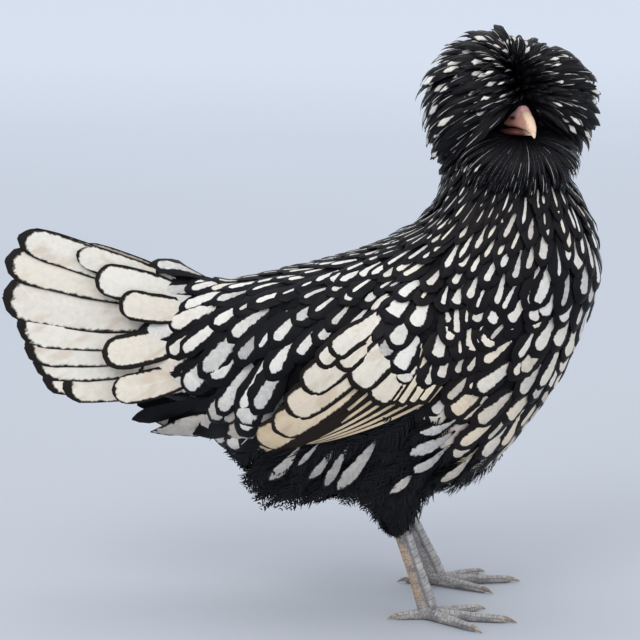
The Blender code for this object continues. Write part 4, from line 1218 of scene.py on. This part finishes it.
# Flight feathers as x and z of root and tip, width, depth in the wing, how warm and how wide their lower dark
# margin is, in millimetres. The upper of two lies over the lower.
SECONDARIES = (
    ((36, 206), (-12, 158.5), 22, 3.0, 0.25, 2.0), ((42, 200), (-22.5, 141), 24, 3.8, 0.45, 2.4),
    ((46, 194), (-32, 125), 25, 4.6, 0.7, 4.0), ((46, 184), (-45, 112), 25, 5.3, 0.85, 9),
    ((44, 176), (-52, 106), 23, 5.9, 0.9, 12),
)
GREATER_COVERTS = (
    ((26, 206), (-2, 174.5), 15, 2.3, 0.1, 3.0), ((38, 212), (6, 182), 17, 2.1, 0.1, 3.2),
    ((42, 206), (10, 173.5), 17, 2.6, 0.2, 3.0), ((58, 206), (19.5, 161.5), 22, 2.5, 0.15, 3.2),
    ((62, 200), (33.5, 150), 20, 2.9, 0.3, 3.2), ((66, 194), (41.5, 150), 12, 3.2, 0.5, 2.8),
    ((70, 188), (47.5, 148.5), 11, 3.4, 0.5, 2.8), ((74, 184), (54.5, 148.8), 11, 3.6, 0.5, 2.6),
    ((80, 180), (60.5, 150), 11, 3.8, 0.5, 2.6),
)
PRIMARIES = tuple(
    ((42 + 7.4 * i, 170 - 2.6 * i), (-32 + 3.4 * i, 112 + 0.9 * i), 10, 6.8 + 0.5 * i, 0.8, 0.5)
    for i in range(6)
)

FLIGHT_STEPS = np.array((0, 0.12, 0.24, 0.36, 0.48, 0.58, 0.67, 0.75, 0.82, 0.88, 0.93, 0.97, 1.0))

# The wing's rows from below, each with its bow and the share of its length that rises out of the skin
WING_ROWS = ((PRIMARIES, 0.02, 0.1), (SECONDARIES, 0.04, 0.4), (GREATER_COVERTS, 0.03, 0.6))
TOP_RIM = 2.9
TIP_RIM = 3.5


def flight_shape(steps, blunt=0.9):
    body = 0.42 + 0.58 * swollen(steps, 0.6)
    return np.maximum(body * np.sqrt(1 - ramp(steps, blunt - 0.1, 1.1 - blunt) ** 2.4 * 0.98), 0.1)


def straight_lines(root, tip):
    steps = FLIGHT_STEPS[None, :, None]
    return root[:, None] * (1 - steps) + tip[:, None] * steps


def columns_of(rows):
    """Roots and tips as x and z, and then each further number of a row as a column."""
    root, tip = (np.array([row[k] for row in rows], dtype=float) for k in (0, 1))
    return root, tip, *np.array([row[2:] for row in rows], dtype=float).T


def joined_rows(name, rows, node):
    """Rows of flight feathers, each as its points, maps, tone and roots, as one piece."""
    points, tone, roots = (np.concatenate([row[k] for row in rows]) for k in (0, 2, 3))
    maps = {key: np.concatenate([row[1][key] for row in rows]) for key in ("Mark", "Blade")}
    joined_sheets(name, points, maps, tone, roots, flight_plumage, (node,))


def wing_blades(skin, root, tip, deep, side, root_share, bow):
    """Centre lines for a row of the wing's feathers, bowed downwards, that start in the skin."""
    steps = FLIGHT_STEPS
    flat = straight_lines(root, tip)
    chord = tip - root
    below = np.stack([-chord[:, 1], chord[:, 0]], axis=1)
    below *= -np.sign(below[:, 1])[:, None]
    flat += below[:, None, :] * (bow * np.sin(steps * math.pi))[None, :, None]
    at, face = on_wing(flat[..., 0], flat[..., 1], side)
    tucked = 5.5 * ramp(flat[..., 0], 8, -58) ** 1.4
    at = (at - face * (deep[:, None] + tucked)[..., None]) * MM + shift
    near, normals = skin.nearest(at.reshape(-1, 3))
    in_skin = (near - normals * 0.8 * MM).reshape(at.shape)
    share = (np.clip(1 - steps / root_share, 0, 1) ** 0.8)[None, :, None]
    return at * (1 - share) + in_skin * share, face, np.linalg.norm(chord, axis=1) * MM


def make_wing_coat(skin, name, side):
    """A folded wing's long feathers and the coverts over them, dark at the rims and along the lower edges."""
    draw = np.random.default_rng(33)
    steps = FLIGHT_STEPS
    shape = flight_shape(steps)
    narrow = np.where(steps < 0.6, shape, 1.0)[None, :, None]
    made = []
    for rows, bow, root_share in WING_ROWS:
        root, tip, widths, deep, warm, low_rim = columns_of(rows)
        centres, faces, lengths = wing_blades(skin, root, tip, deep, side, root_share, bow)
        count = len(rows)
        widths, low_rim = widths[:, None] * MM, low_rim[:, None] * MM
        shapes = np.tile(shape, (count, 1))
        points, out = blade_points(
            centres, faces, widths[:, 0], shapes, 11, 0.1, draw, 0.015, 0.25 * MM, 0.03
        )
        up = np.sign(np.cross(np.diff(centres, axis=1)[:, 5], faces[:, 5])[:, 2])
        if rows is PRIMARIES:
            top_rim = widths - low_rim - (TOP_RIM - 2.1 * steps[None, :]) * MM
        else:
            top_rim = TOP_RIM * MM
            away = ramp(steps, 0.92, -0.3)[None, :]
            low_rim = np.minimum(low_rim, 2.6 * MM) * (1 - away) + low_rim * away
        shifted = out / narrow * up[:, None, None] - ((low_rim - top_rim) / 2)[..., None]
        half = (widths - low_rim - top_rim) / 2
        along = steps[None, :] * lengths[:, None] - (lengths[:, None] - widths * 0.55)
        reach = np.where(along > 0, along / (widths * 0.55 - TIP_RIM * MM), along / lengths[:, None] * 0.35)
        reach = np.broadcast_to(reach[..., None], shifted.shape)
        mark = np.stack([shifted / half[..., None], reach], axis=-1)
        tone = np.stack([draw.random(count), warm, draw.uniform(0, 0.1, count)], axis=1)
        made.append((points, maps_of(mark, out, lengths, steps), tone, centres[:, 0]))
    joined_rows(f"{name}_feathers", made, name)


# The tail is a ridge along its top, from which its two sides flare
RIDGE_Z = 252.0
FLARE = 0.30

# Tail feathers of one side as x and z of root and tip, width, depth and the share of the width that is rim
RECTRICES = (
    ((-78, 207), (-194, 245), 20, 0.6, 0.05), ((-78, 203), (-203, 230.5), 26, 1.4, 0.05),
    ((-78, 197), (-203, 209), 32, 2.3, 0.04), ((-78, 189), (-195, 192.5), 29, 3.2, 0.04),
    ((-78, 182), (-189, 179), 27, 4.1, 0.04), ((-78, 174), (-184, 168), 26, 5.0, 0.04),
    ((-78, 167), (-179, 159), 24, 5.9, 0.045), ((-78, 160), (-165, 152), 22, 6.8, 0.05),
)
TAIL_COVERTS = (
    ((-80, 210), (-157, 235.5), 17, -0.9, 0.06), ((-78, 205), (-144, 220), 23, -2.3, 0.08),
    ((-76, 200), (-129, 204), 20, -3.7, 0.10), ((-74, 188), (-139, 172), 23, -2.2, 0.12),
    ((-70, 166), (-133, 148), 20, -0.9, 0.07),
)

# Each tier's feathers, how far they dip at the root, how soon they rise from there, how blunt they end, and
# the black at the tip beyond the rim
TAIL_TIERS = ((RECTRICES, 3.0, 1.3, 0.93, 5.0), (TAIL_COVERTS, 9.0, 3.2, 0.88, 1.0))

# How far the feathers bow down along their length, but for those with tips above a height
TAIL_BOW, TOP_Z = 3.0, 215


def make_tail_coat():
    """Both sides of the fanned tail, in two tiers."""
    draw = np.random.default_rng(41)
    lean = unit(np.array((1.0, FLARE)))
    steps = FLIGHT_STEPS
    made = []
    for rows, dip, rise, blunt, tip_black in TAIL_TIERS:
        count = len(rows)
        shape = flight_shape(steps, blunt)
        narrow = np.where(steps < 0.6, shape, 1.0)[None, :, None]
        for side in (-1, 1):
            root, tip, widths, deep, rim = columns_of(rows)
            tip += draw.normal(0, 0.7, tip.shape)
            widths *= MM
            flat = straight_lines(root, tip)
            flat[..., 1] -= TAIL_BOW * np.sin(steps * math.pi)[None, :] * (tip[:, 1] < TOP_Z)[:, None]
            out_by = (1.6 + (RIDGE_Z - flat[..., 1]) * FLARE) * (0.62 + 0.38 * steps[None, :] ** 0.8)
            face = np.array((0, side * lean[0], lean[1]))
            centres = np.stack([flat[..., 0], side * out_by, flat[..., 1]], axis=-1)
            sunk = deep[:, None] * (0.7 + 0.3 * steps[None, :]) + dip * (1 - steps[None, :]) ** rise
            centres = (centres - face * sunk[..., None]) * MM + shift
            faces = np.broadcast_to(face, centres.shape).copy()
            lengths = np.linalg.norm(tip - root, axis=1) * MM
            shapes = np.tile(shape, (count, 1))
            points, out = blade_points(centres, faces, widths, shapes, 9, 0.05, draw, 0.02, 0.25 * MM, 0.02)
            rim = widths * rim
            half, tip_mark = widths / 2 - rim, lengths * 0.2 - (rim + tip_black * MM)
            mark = marks(out / narrow, lengths, steps, half, tip_mark, lengths * 3, lengths * 0.8, 0.1)
            tone = [draw.random(count), draw.uniform(0, 0.25, count), draw.uniform(0, 0.16, count)]
            made.append((points, maps_of(mark, out, lengths, steps), np.stack(tone, axis=1), centres[:, 0]))
    joined_rows("tail_feathers", made, "tail")


# Bill, eyes and legs


def round_ring(centre, across, up, sides, fullness=2.0):
    ring = []
    for k in range(sides):
        turn = 2 * math.pi * k / sides
        a, b = (math.copysign(abs(part) ** (2 / fullness), part) for part in (math.cos(turn), math.sin(turn)))
        ring.append(centre + across * a + up * b)
    return ring


def lofted(name, rings, sides, fullness=2.0):
    """A closed form bridged through rings, each a centre and its two half axes."""
    bm = bmesh.new()
    bridged(bm, [round_ring(*ring, sides, fullness) for ring in rings])
    return smooth_mesh(name, bm)


def add_lofted(bm, rings, sides, fullness=2.0):
    held = lofted("held", rings, sides, fullness)
    bm.from_mesh(held)
    bpy.data.meshes.remove(held)


def softened(piece):
    soft = piece.modifiers.new("soft", "SUBSURF")
    soft.levels = soft.render_levels = 1
    return piece


def between(stations, steps):
    """A smooth run of values through rows of numbers, with the given steps to each row."""
    rows = [Vector(row) for row in stations]
    rows = [rows[0] * 2 - rows[1], *rows, rows[-1] * 2 - rows[-2]]
    smooth = []
    for i in range(1, len(rows) - 2):
        a, b, c, d = rows[i - 1 : i + 3]
        for k in range(steps):
            t = k / steps
            bent = (2 * a - 5 * b + 4 * c - d) * t**2 + (3 * b - a - 3 * c + d) * t**3
            smooth.append(0.5 * (2 * b + (c - a) * t + bent))
    return [*smooth, rows[-2]]


# Bill sections: forward, half width, top and bottom, in millimetres
UPPER_BILL = (
    (9, 12.4, 3.0, -4.7), (13.5, 11.4, 4.4, -4.7), (19.9, 9.6, 7.0, -4.7), (23, 8.6, 9.2, -4.8),
    (26, 7.8, 8.9, -4.8), (28.5, 6.9, 6.4, -4.9), (32, 5.8, 4.9, -5.2), (36, 4.6, 3.0, -5.7),
    (41, 3.0, -1.2, -6.6), (44.5, 1.6, -5.4, -8.2), (46.2, 0.6, -8.6, -9.8),
)
LOWER_BILL = (
    (8, 12.3, -5.0, -9.4), (13.5, 11.3, -4.95, -9.6), (19.9, 9.5, -4.95, -9.6), (26, 7.5, -5.05, -9.2),
    (33, 5.3, -5.6, -8.7), (39, 2.9, -6.4, -8.4), (41.6, 0.9, -7.1, -8.1),
)
BILL_FULLNESS = 2.8

# The bill sits a little lower and more turned than the head
BILL_SET = Matrix.Translation((0, 0, -1.4 * MM)) @ Matrix.Rotation(math.radians(-3), 4, "Z")

# The nostril in the bill's own frame, and how far and how deep it is pressed in
NOSTRIL = (22.5, 6.4, 1.5)
NOSTRIL_SIZE = (2.6, 4, 1.3)
NOSTRIL_DEPTH = 1.4


def horn_material():
    """Horn of the bill: cream down its ridge to the tip, a lilac knob, reddish brown to the gape, and painted
    shade.
    """
    paint = Paint("bill_horn")
    place = paint.place()
    inverse = (HEAD @ BILL_SET).inverted()
    into_bill = {"Vector": place, "Location": inverse.translation, "Rotation": inverse.to_euler()}
    axes = paint.split(paint.node("Mapping", into_bill).outputs[0])
    spots = paint.noise(place, 420.0, 4.0)
    drift = paint.times(paint.less(spots, 0.5), 0.004)
    forward = paint.plus(axes[0], drift)
    across = paint.plus(paint.size(axes[1]), drift)
    # Painted shade: low covers the lower half and the upper half's lower edge, darkened as under the upper
    # bill and beard
    low = paint.ease(paint.plus(axes[2], drift), -0.0042, -0.0058)
    ridge = paint.ease(across, 0.0036, 0.0018)
    knob = paint.times(paint.ease(axes[2], 0.001, 0.0045), paint.ease(forward, 0.0315, 0.0275))
    # Painted shade in each nostril's opening
    hole = []
    for axis, at, size in ((forward, 0.0225, 0.0030), (axes[2], 0.0015, 0.0011)):
        hole.append(paint.sum("POWER", paint.sum("DIVIDE", paint.less(axis, at), size), 2.0))
    cream, rose = (0.76, 0.56, 0.40, 1), (0.38, 0.16, 0.12, 1)
    colour = paint.mix(paint.ease(forward, 0.020, 0.036), rose, (0.56, 0.31, 0.23, 1))
    for share, over in (
        # The lower horn's own reddish brown, darkened as painted shade under the upper bill and beard
        (paint.times(low, paint.ease(forward, 0.044, 0.040)), (0.13, 0.045, 0.038, 1)),
        (paint.times(ridge, paint.ease(forward, 0.024, 0.031)), cream),
        (paint.ease(forward, 0.040, 0.0445), cream),
        (knob, (0.60, 0.34, 0.34, 1)),
        # Painted shade in the nostrils
        (paint.ease(paint.plus(*hole), 1.5, 0.5), (0.035, 0.010, 0.010, 1)),
        # Painted shade on the base, where it goes in under the face feathers
        (paint.times(paint.ease(forward, 0.019, 0.011), 0.7), (0.10, 0.035, 0.030, 1)),
        (paint.times(paint.ease(spots, 0.5, 0.75), 0.5), rose),
    ):
        colour = paint.mix(share, colour, over)
    return paint.done(
        (0.3, 0.0002, spots), Base_Color=colour, Roughness=0.4, Subsurface_Weight=0.12,
        Subsurface_Radius=(0.004, 0.0015, 0.001), Subsurface_Scale=0.5,
    )


def make_bill(horn):
    """Both halves of the bill. The upper one narrows towards its ridge and has a nostril in each side."""
    for name, sections, node in (
        ("upper_bill", UPPER_BILL, "beak_upper"), ("lower_bill", LOWER_BILL, "beak_lower"),
    ):
        rings = []
        for forward, half, top, bottom in between(sections, 3):
            centre = Vector((forward, 0, (top + bottom) / 2)) * MM
            rings.append((centre, Vector((0, half * MM, 0)), Vector((0, 0, (top - bottom) / 2 * MM))))
        mesh = lofted(name, rings, 24, BILL_FULLNESS)
        if sections is UPPER_BILL:
            for vert in mesh.vertices:
                high = min(1.0, max(0.0, (vert.co.z / MM + 3) / 10))
                vert.co.y *= 1 - 0.5 * high
                for side in (-1, 1):
                    off = vert.co - Vector((NOSTRIL[0], NOSTRIL[1] * side, NOSTRIL[2])) * MM
                    near = math.exp(-sum((part / (size * MM)) ** 2 for part, size in zip(off, NOSTRIL_SIZE)))
                    vert.co.y -= side * NOSTRIL_DEPTH * MM * near
        mesh.transform(HEAD @ BILL_SET)
        softened(finished(name, mesh, horn, (node,)))


def eye_at(sign):
    """The middle of an eye in the head's own frame, to the right for a sign of -1."""
    return Vector((EYE_PLACE.x, EYE_PLACE.y * sign, EYE_PLACE.z))


def eye_material(side, sign):
    """A red-brown iris round a black pupil, wet all over."""
    paint = Paint(f"eye_{side}")
    place = paint.place()
    out = (HEAD.to_3x3() @ Vector((0.25, sign, 0.05))).normalized()
    off = paint.node("VectorMath", {0: place, 1: HEAD @ eye_at(sign)}, operation="SUBTRACT").outputs[0]
    along = paint.node("VectorMath", {0: off, 1: out}, operation="DOT_PRODUCT").outputs["Value"]
    iris = paint.mix(paint.noise(place, 1500.0), (0.42, 0.10, 0.02, 1), (0.16, 0.03, 0.01, 1))
    colour = paint.mix(paint.ease(along, 0.0040, 0.0036), iris, (0.02, 0.01, 0.008, 1))
    colour = paint.mix(paint.ease(along, 0.00488, 0.00498), colour, (0.002, 0.002, 0.002, 1))
    return paint.done(Base_Color=colour, Roughness=0.08, Coat_Weight=0.8)


def make_eyes(lid_skin):
    """Both eyeballs, and round each a lid that is a little thicker above."""
    lids = bmesh.new()
    for side, sign in (("right", -1), ("left", 1)):
        bm = bmesh.new()
        bmesh.ops.create_uvsphere(bm, u_segments=40, v_segments=24, radius=EYE_RADIUS)
        bmesh.ops.transform(bm, matrix=HEAD @ Matrix.Translation(eye_at(sign)), verts=bm.verts)
        ball = smooth_mesh(f"eyeball_{side}", bm)
        finished(f"eyeball_{side}", ball, eye_material(side, sign), (f"eye_{side}",))
        rings = []
        for i in range(32):
            turn = 2 * math.pi * i / 32
            round_it = Vector((math.cos(turn), 0, math.sin(turn)))
            centre = eye_at(sign) + Vector((0.4, 2.3 * sign, 0)) * MM + round_it * EYE_RADIUS * 0.84
            thick = (0.95 + 0.25 * max(0.0, math.sin(turn))) * MM
            rings.append((centre, round_it * thick, Vector((0, sign, 0)) * thick * 1.1))
        add_lofted(lids, rings, 8)
    bmesh.ops.transform(lids, matrix=HEAD, verts=lids.verts)
    finished("eyelids", smooth_mesh("eyelids", lids), lid_skin, ())


HOCK = Vector((47, 0, 76))
ANKLE = Vector((69, 0, 9))
LEG_OUT = {"right": -38, "left": 42}
FOOT_SHIFT = {"right": 0, "left": 9}

# Sections of the shank as its share down from the hock, then half its depth and width
SHANK = (
    (-0.12, 7.4, 6.6), (0.0, 7.0, 6.2), (0.1, 6.2, 5.4), (0.3, 5.4, 4.7), (0.6, 5.2, 4.6), (0.85, 5.7, 5.2),
    (1.0, 6.6, 6.2), (1.07, 6.4, 6.4), (1.12, 5.0, 5.2),
)

# Toes as the way they point in degrees, length and half width. The first is the middle one, the last the
# one behind.
TOES = ((4, 50, 4.1), (-34, 37, 3.8), (38, 39, 3.7), (168, 19, 3.2))
TOE_TURN = {"right": 6, "left": 2}
TOE_HEIGHT = 7.6

# The toes' pads as the share of the length, then the shares of the width and height
PADS = (
    (-0.08, 0.9, 1.0), (0.1, 1.0, 0.98), (0.24, 0.98, 0.92), (0.36, 0.84, 0.8), (0.48, 0.98, 0.82),
    (0.6, 0.84, 0.72), (0.7, 0.72, 0.64), (0.82, 0.78, 0.62), (0.92, 0.62, 0.54), (1.0, 0.46, 0.46),
    (1.05, 0.3, 0.36),
)
CLAW_LENGTH = 11


def shank_material():
    """Slate scales, tan along the back of the shank, with fine net scales between the plates."""
    paint = Paint("leg_scales")
    place = paint.place()
    cells = paint.cells(place, 430.0, feature="DISTANCE_TO_EDGE")
    patches = paint.noise(place, 90.0, 6.0)
    axes = paint.split(place)
    lean = (ANKLE.x - HOCK.x) / (ANKLE.z - HOCK.z)
    behind = paint.less(axes[0], paint.times(axes[2], lean))
    start = (HOCK.x - lean * HOCK.z) * MM + SHIFT.x
    tan = paint.times(paint.ease(behind, start + 0.002, start - 0.004), paint.ease(axes[2], 0.006, 0.02))
    tan = paint.times(tan, paint.ease(patches, 0.3, 0.55))
    colour = paint.mix(paint.ease(patches, 0.35, 0.6), (0.22, 0.21, 0.215, 1), (0.40, 0.375, 0.36, 1))
    colour = paint.mix(tan, colour, (0.50, 0.35, 0.22, 1))
    colour = paint.mix(paint.times(paint.ease(cells, 0.09, 0.0), 0.75), colour, (0.10, 0.085, 0.08, 1))
    relief = (0.5, 0.0004, paint.ease(cells, 0.0, 0.2))
    return paint.done(relief, Base_Color=colour, Roughness=0.5, Specular_IOR_Level=0.3)


def plate_material():
    """The broad plates: smooth slate horn, paler along their lower edges, with painted shade where the plate
    before lies over them.
    """
    paint = Paint("leg_plates")
    edge = paint.mapped("Mark")
    patches = paint.noise(paint.place(), 160.0, 5.0)
    colour = paint.mix(paint.ease(patches, 0.35, 0.65), (0.25, 0.245, 0.25, 1), (0.44, 0.42, 0.41, 1))
    colour = paint.mix(paint.ease(edge[1], 0.6, 0.95), colour, (0.47, 0.45, 0.43, 1))
    # Painted shade along each plate's upper edge, under the lower edge of the plate before it
    colour = paint.mix(paint.ease(edge[1], 0.2, 0.0), colour, (0.12, 0.105, 0.10, 1))
    colour = paint.mix(paint.ease(paint.size(edge[0]), 0.72, 1.0), colour, (0.17, 0.15, 0.145, 1))
    return paint.done((0.2, 0.0002, patches), Base_Color=colour, Roughness=0.42, Specular_IOR_Level=0.35)


PLATE_ROWS, PLATE_COLUMNS = 5, 9


def plates(path, halves, count, arc, raised):
    """Overlapping plates down the front of a shank or along the top of a toe.

    path gives a place, the way out of the plate's middle and the way sideways for a share of the length, and
    raised is how far a plate's lower edge stands up, in millimetres."""
    points = np.zeros((count, PLATE_ROWS, PLATE_COLUMNS, 3))
    turns = np.linspace(-math.radians(arc), math.radians(arc), PLATE_COLUMNS)
    for i in range(count):
        for k in range(PLATE_ROWS):
            inner = k / (PLATE_ROWS - 1)
            share = (i + inner * 1.12) / count
            centre, out, side = path(min(share, 1.0))
            deep, wide = halves(share)
            lift = (0.15 + raised * math.sin(min(1.0, inner * 1.15) * math.pi / 2)) * MM
            lift -= (raised + 0.2) * MM * (inner > 0.99)
            for j, turn in enumerate(turns):
                round_it = out * (deep + lift) * math.cos(turn) + side * (wide + lift) * math.sin(turn)
                points[i, k, j] = centre + round_it
    return points


def plated(name, points, material):
    """Plates joined to one piece, with their places across and along each plate as a map."""
    across, along = np.meshgrid(np.linspace(-1, 1, PLATE_COLUMNS), np.linspace(0, 1, PLATE_ROWS))
    maps = {"Mark": np.broadcast_to(np.stack([across, along], axis=-1), (*points.shape[:3], 2))}
    roots = points[:, 0, PLATE_COLUMNS // 2]
    joined_sheets(name, points, maps, np.zeros((len(points), 3)), roots, material, ())


def toe_rings(start, way, across, length, half):
    rings = []
    for share, wide, high in PADS:
        rise = Vector((0, 0, TOE_HEIGHT * high / 2 * MM))
        rings.append((start + way * length * share * MM + rise, across * half * wide * MM, rise))
    return rings


def claw_rings(start, way, across, length, half):
    claw = CLAW_LENGTH * (0.55 + 0.45 * length / TOES[0][1])
    rings = []
    for k in range(8):
        share = k / 7
        centre = start + way * (length * 0.96 + claw * share) * MM
        rise = (0.5 + 0.16 * math.sin(share * math.pi) - 0.42 * share**1.6) * TOE_HEIGHT * 0.62 * MM
        thick = (1.0 - 0.93 * share**1.3) * half * 0.5 * MM
        rings.append((centre + Vector((0, 0, rise)), across * thick, Vector((0, 0, thick * 1.25))))
    return rings


def toe_plates(start, way, across, length, half):
    def along_toe(share):
        rise = Vector((0, 0, TOE_HEIGHT * (0.47 - 0.11 * share) * MM))
        at = start + way * length * (0.02 + 0.96 * share) * MM + rise
        return np.array(at), np.array((0.0, 0.0, 1.0)), np.array(across)

    def toe_size(share):
        return TOE_HEIGHT * 0.5 * (1 - 0.5 * share) * MM, half * 0.95 * (1 - 0.42 * share) * MM

    return plates(along_toe, toe_size, max(5, int(length / 3.4)), 76, 0.25)


def make_leg(side, scales, plate_horn, claw_horn):
    """One bare leg: the shank with its front plates, and four toes with plates and claws."""
    sign = -1 if side == "right" else 1
    out = LEG_OUT[side]
    top = spot(HOCK.x, out, HOCK.z)
    foot = spot(ANKLE.x + FOOT_SHIFT[side], out, ANKLE.z)
    along = (foot - top).normalized()
    front, beside = Vector((-along.z, 0, along.x)), Vector((0, 1, 0))
    rings = [(top.lerp(foot, share), front * deep * MM, beside * wide * MM) for share, deep, wide in SHANK]
    shank = softened(finished(f"shank_{side}", lofted(f"shank_{side}", rings, 20), scales, ()))
    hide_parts(f"leg_{side}")

    def down_front(share):
        return np.array(top.lerp(foot, share)), np.array(front), np.array(beside)

    def front_size(share):
        wider = max(0.0, share - 0.62) / 0.38 + max(0.0, 0.12 - share) / 0.12
        return (5.35 + 1.3 * wider) * MM, (4.8 + 1.4 * wider) * MM

    laid = [plates(down_front, front_size, 14, 80, 0.45)]
    start = Vector((foot.x, foot.y, SHIFT.z))
    toes, claws = bmesh.new(), bmesh.new()
    for degrees, length, half in TOES:
        turn = math.radians((degrees + TOE_TURN[side]) * sign)
        way = Vector((math.cos(turn), math.sin(turn), 0))
        toe = (start, way, Vector((-way.y, way.x, 0)), length, half)
        add_lofted(toes, toe_rings(*toe), 16, 2.3)
        add_lofted(claws, claw_rings(*toe), 12)
        laid.append(toe_plates(*toe))
    plated(f"leg_plates_{side}", np.concatenate(laid), plate_horn)
    for name, bm, material in ((f"toes_{side}", toes, scales), (f"claws_{side}", claws, claw_horn)):
        softened(finished(name, smooth_mesh(name, bm), material, ()))


# Floor, light and camera


def make_stage():
    """A plain pale floor that goes on past every edge of the picture, with painted shade that darkens it
    towards the camera.
    """
    bm = bmesh.new()
    bmesh.ops.create_grid(bm, x_segments=1, y_segments=1, size=60.0)
    mesh = smooth_mesh("floor", bm)
    paint = Paint("pale_floor")
    place = paint.place()
    # Painted shade: the floor darkens unevenly towards the camera and is palest far off
    away = paint.plus(paint.split(place)[1], paint.times(paint.noise(place, 0.7), 0.8))
    colour = paint.mix(paint.ease(away, -0.4, 6.0), (0.47, 0.495, 0.54, 1), (0.80, 0.845, 0.92, 1))
    mesh.materials.append(paint.done(Base_Color=colour, Roughness=0.75, Specular_IOR_Level=0.1))
    floor = bpy.data.objects.new("floor", mesh)
    bpy.context.scene.collection.objects.link(floor)


def aimed(name, data, place, aim):
    """A lamp or camera in its place, looking at its aim."""
    made = bpy.data.objects.new(name, data)
    made.location = place
    made.rotation_euler = (Vector(aim) - Vector(place)).to_track_quat("-Z", "Y").to_euler()
    bpy.context.scene.collection.objects.link(made)
    return made


def lamp(name, place, size, power, colour=(1, 1, 1)):
    data = bpy.data.lights.new(name, "AREA")
    data.energy = power
    data.size = size
    data.color = colour
    aimed(name, data, place, (0, 0, 0.2))


def make_light_and_camera():
    bpy.context.scene.view_settings.view_transform = "Standard"
    lamp("key", (-0.7, -1.5, 1.7), 1.1, 16, (1.0, 0.985, 0.96))
    lamp("fill", (1.7, -1.2, 0.9), 1.4, 6.5, (0.95, 0.97, 1.0))
    lamp("top", (0.1, 0.4, 2.2), 1.6, 9.5)
    world = bpy.data.worlds.new("room")
    world.use_nodes = True
    world.node_tree.nodes["Background"].inputs[0].default_value = (0.84, 0.88, 0.94, 1)
    world.node_tree.nodes["Background"].inputs[1].default_value = 1.0
    bpy.context.scene.world = world
    aim = spot(0, 0, 190)
    away, raised = 1.6, math.radians(10)
    data = bpy.data.cameras.new("camera")
    data.lens = 138.5
    data.sensor_width = 36
    place = aim + Vector((0, -math.cos(raised), math.sin(raised))) * away
    bpy.context.scene.camera = aimed("camera", data, place, aim)


skin_mesh = make_skin()
finished("skin", skin_mesh, dark_skin, FLESH)
skin = Skin(skin_mesh)
coat_of_body(skin)
fluff_of_belly(skin)
loose_feathers(skin)
make_face_coat(skin)
make_crest_coat(skin)
make_beard_coat(skin)
make_wing_coat(skin, "wing_right", -1)
make_wing_coat(skin, "wing_left", 1)
make_tail_coat()
make_bill(horn_material())
make_eyes(skin_material("lid_skin", (0.05, 0.02, 0.02, 1), (0.09, 0.03, 0.028, 1), 700, 0.0002, 0.5))
leg_scales = shank_material()
plate_horn = plate_material()
claw_horn = skin_material("claw_horn", (0.22, 0.17, 0.14, 1), (0.42, 0.35, 0.28, 1), 300, 0.0001, 0.35)
make_leg("right", leg_scales, plate_horn, claw_horn)
make_leg("left", leg_scales, plate_horn, claw_horn)
make_stage()
make_light_and_camera()
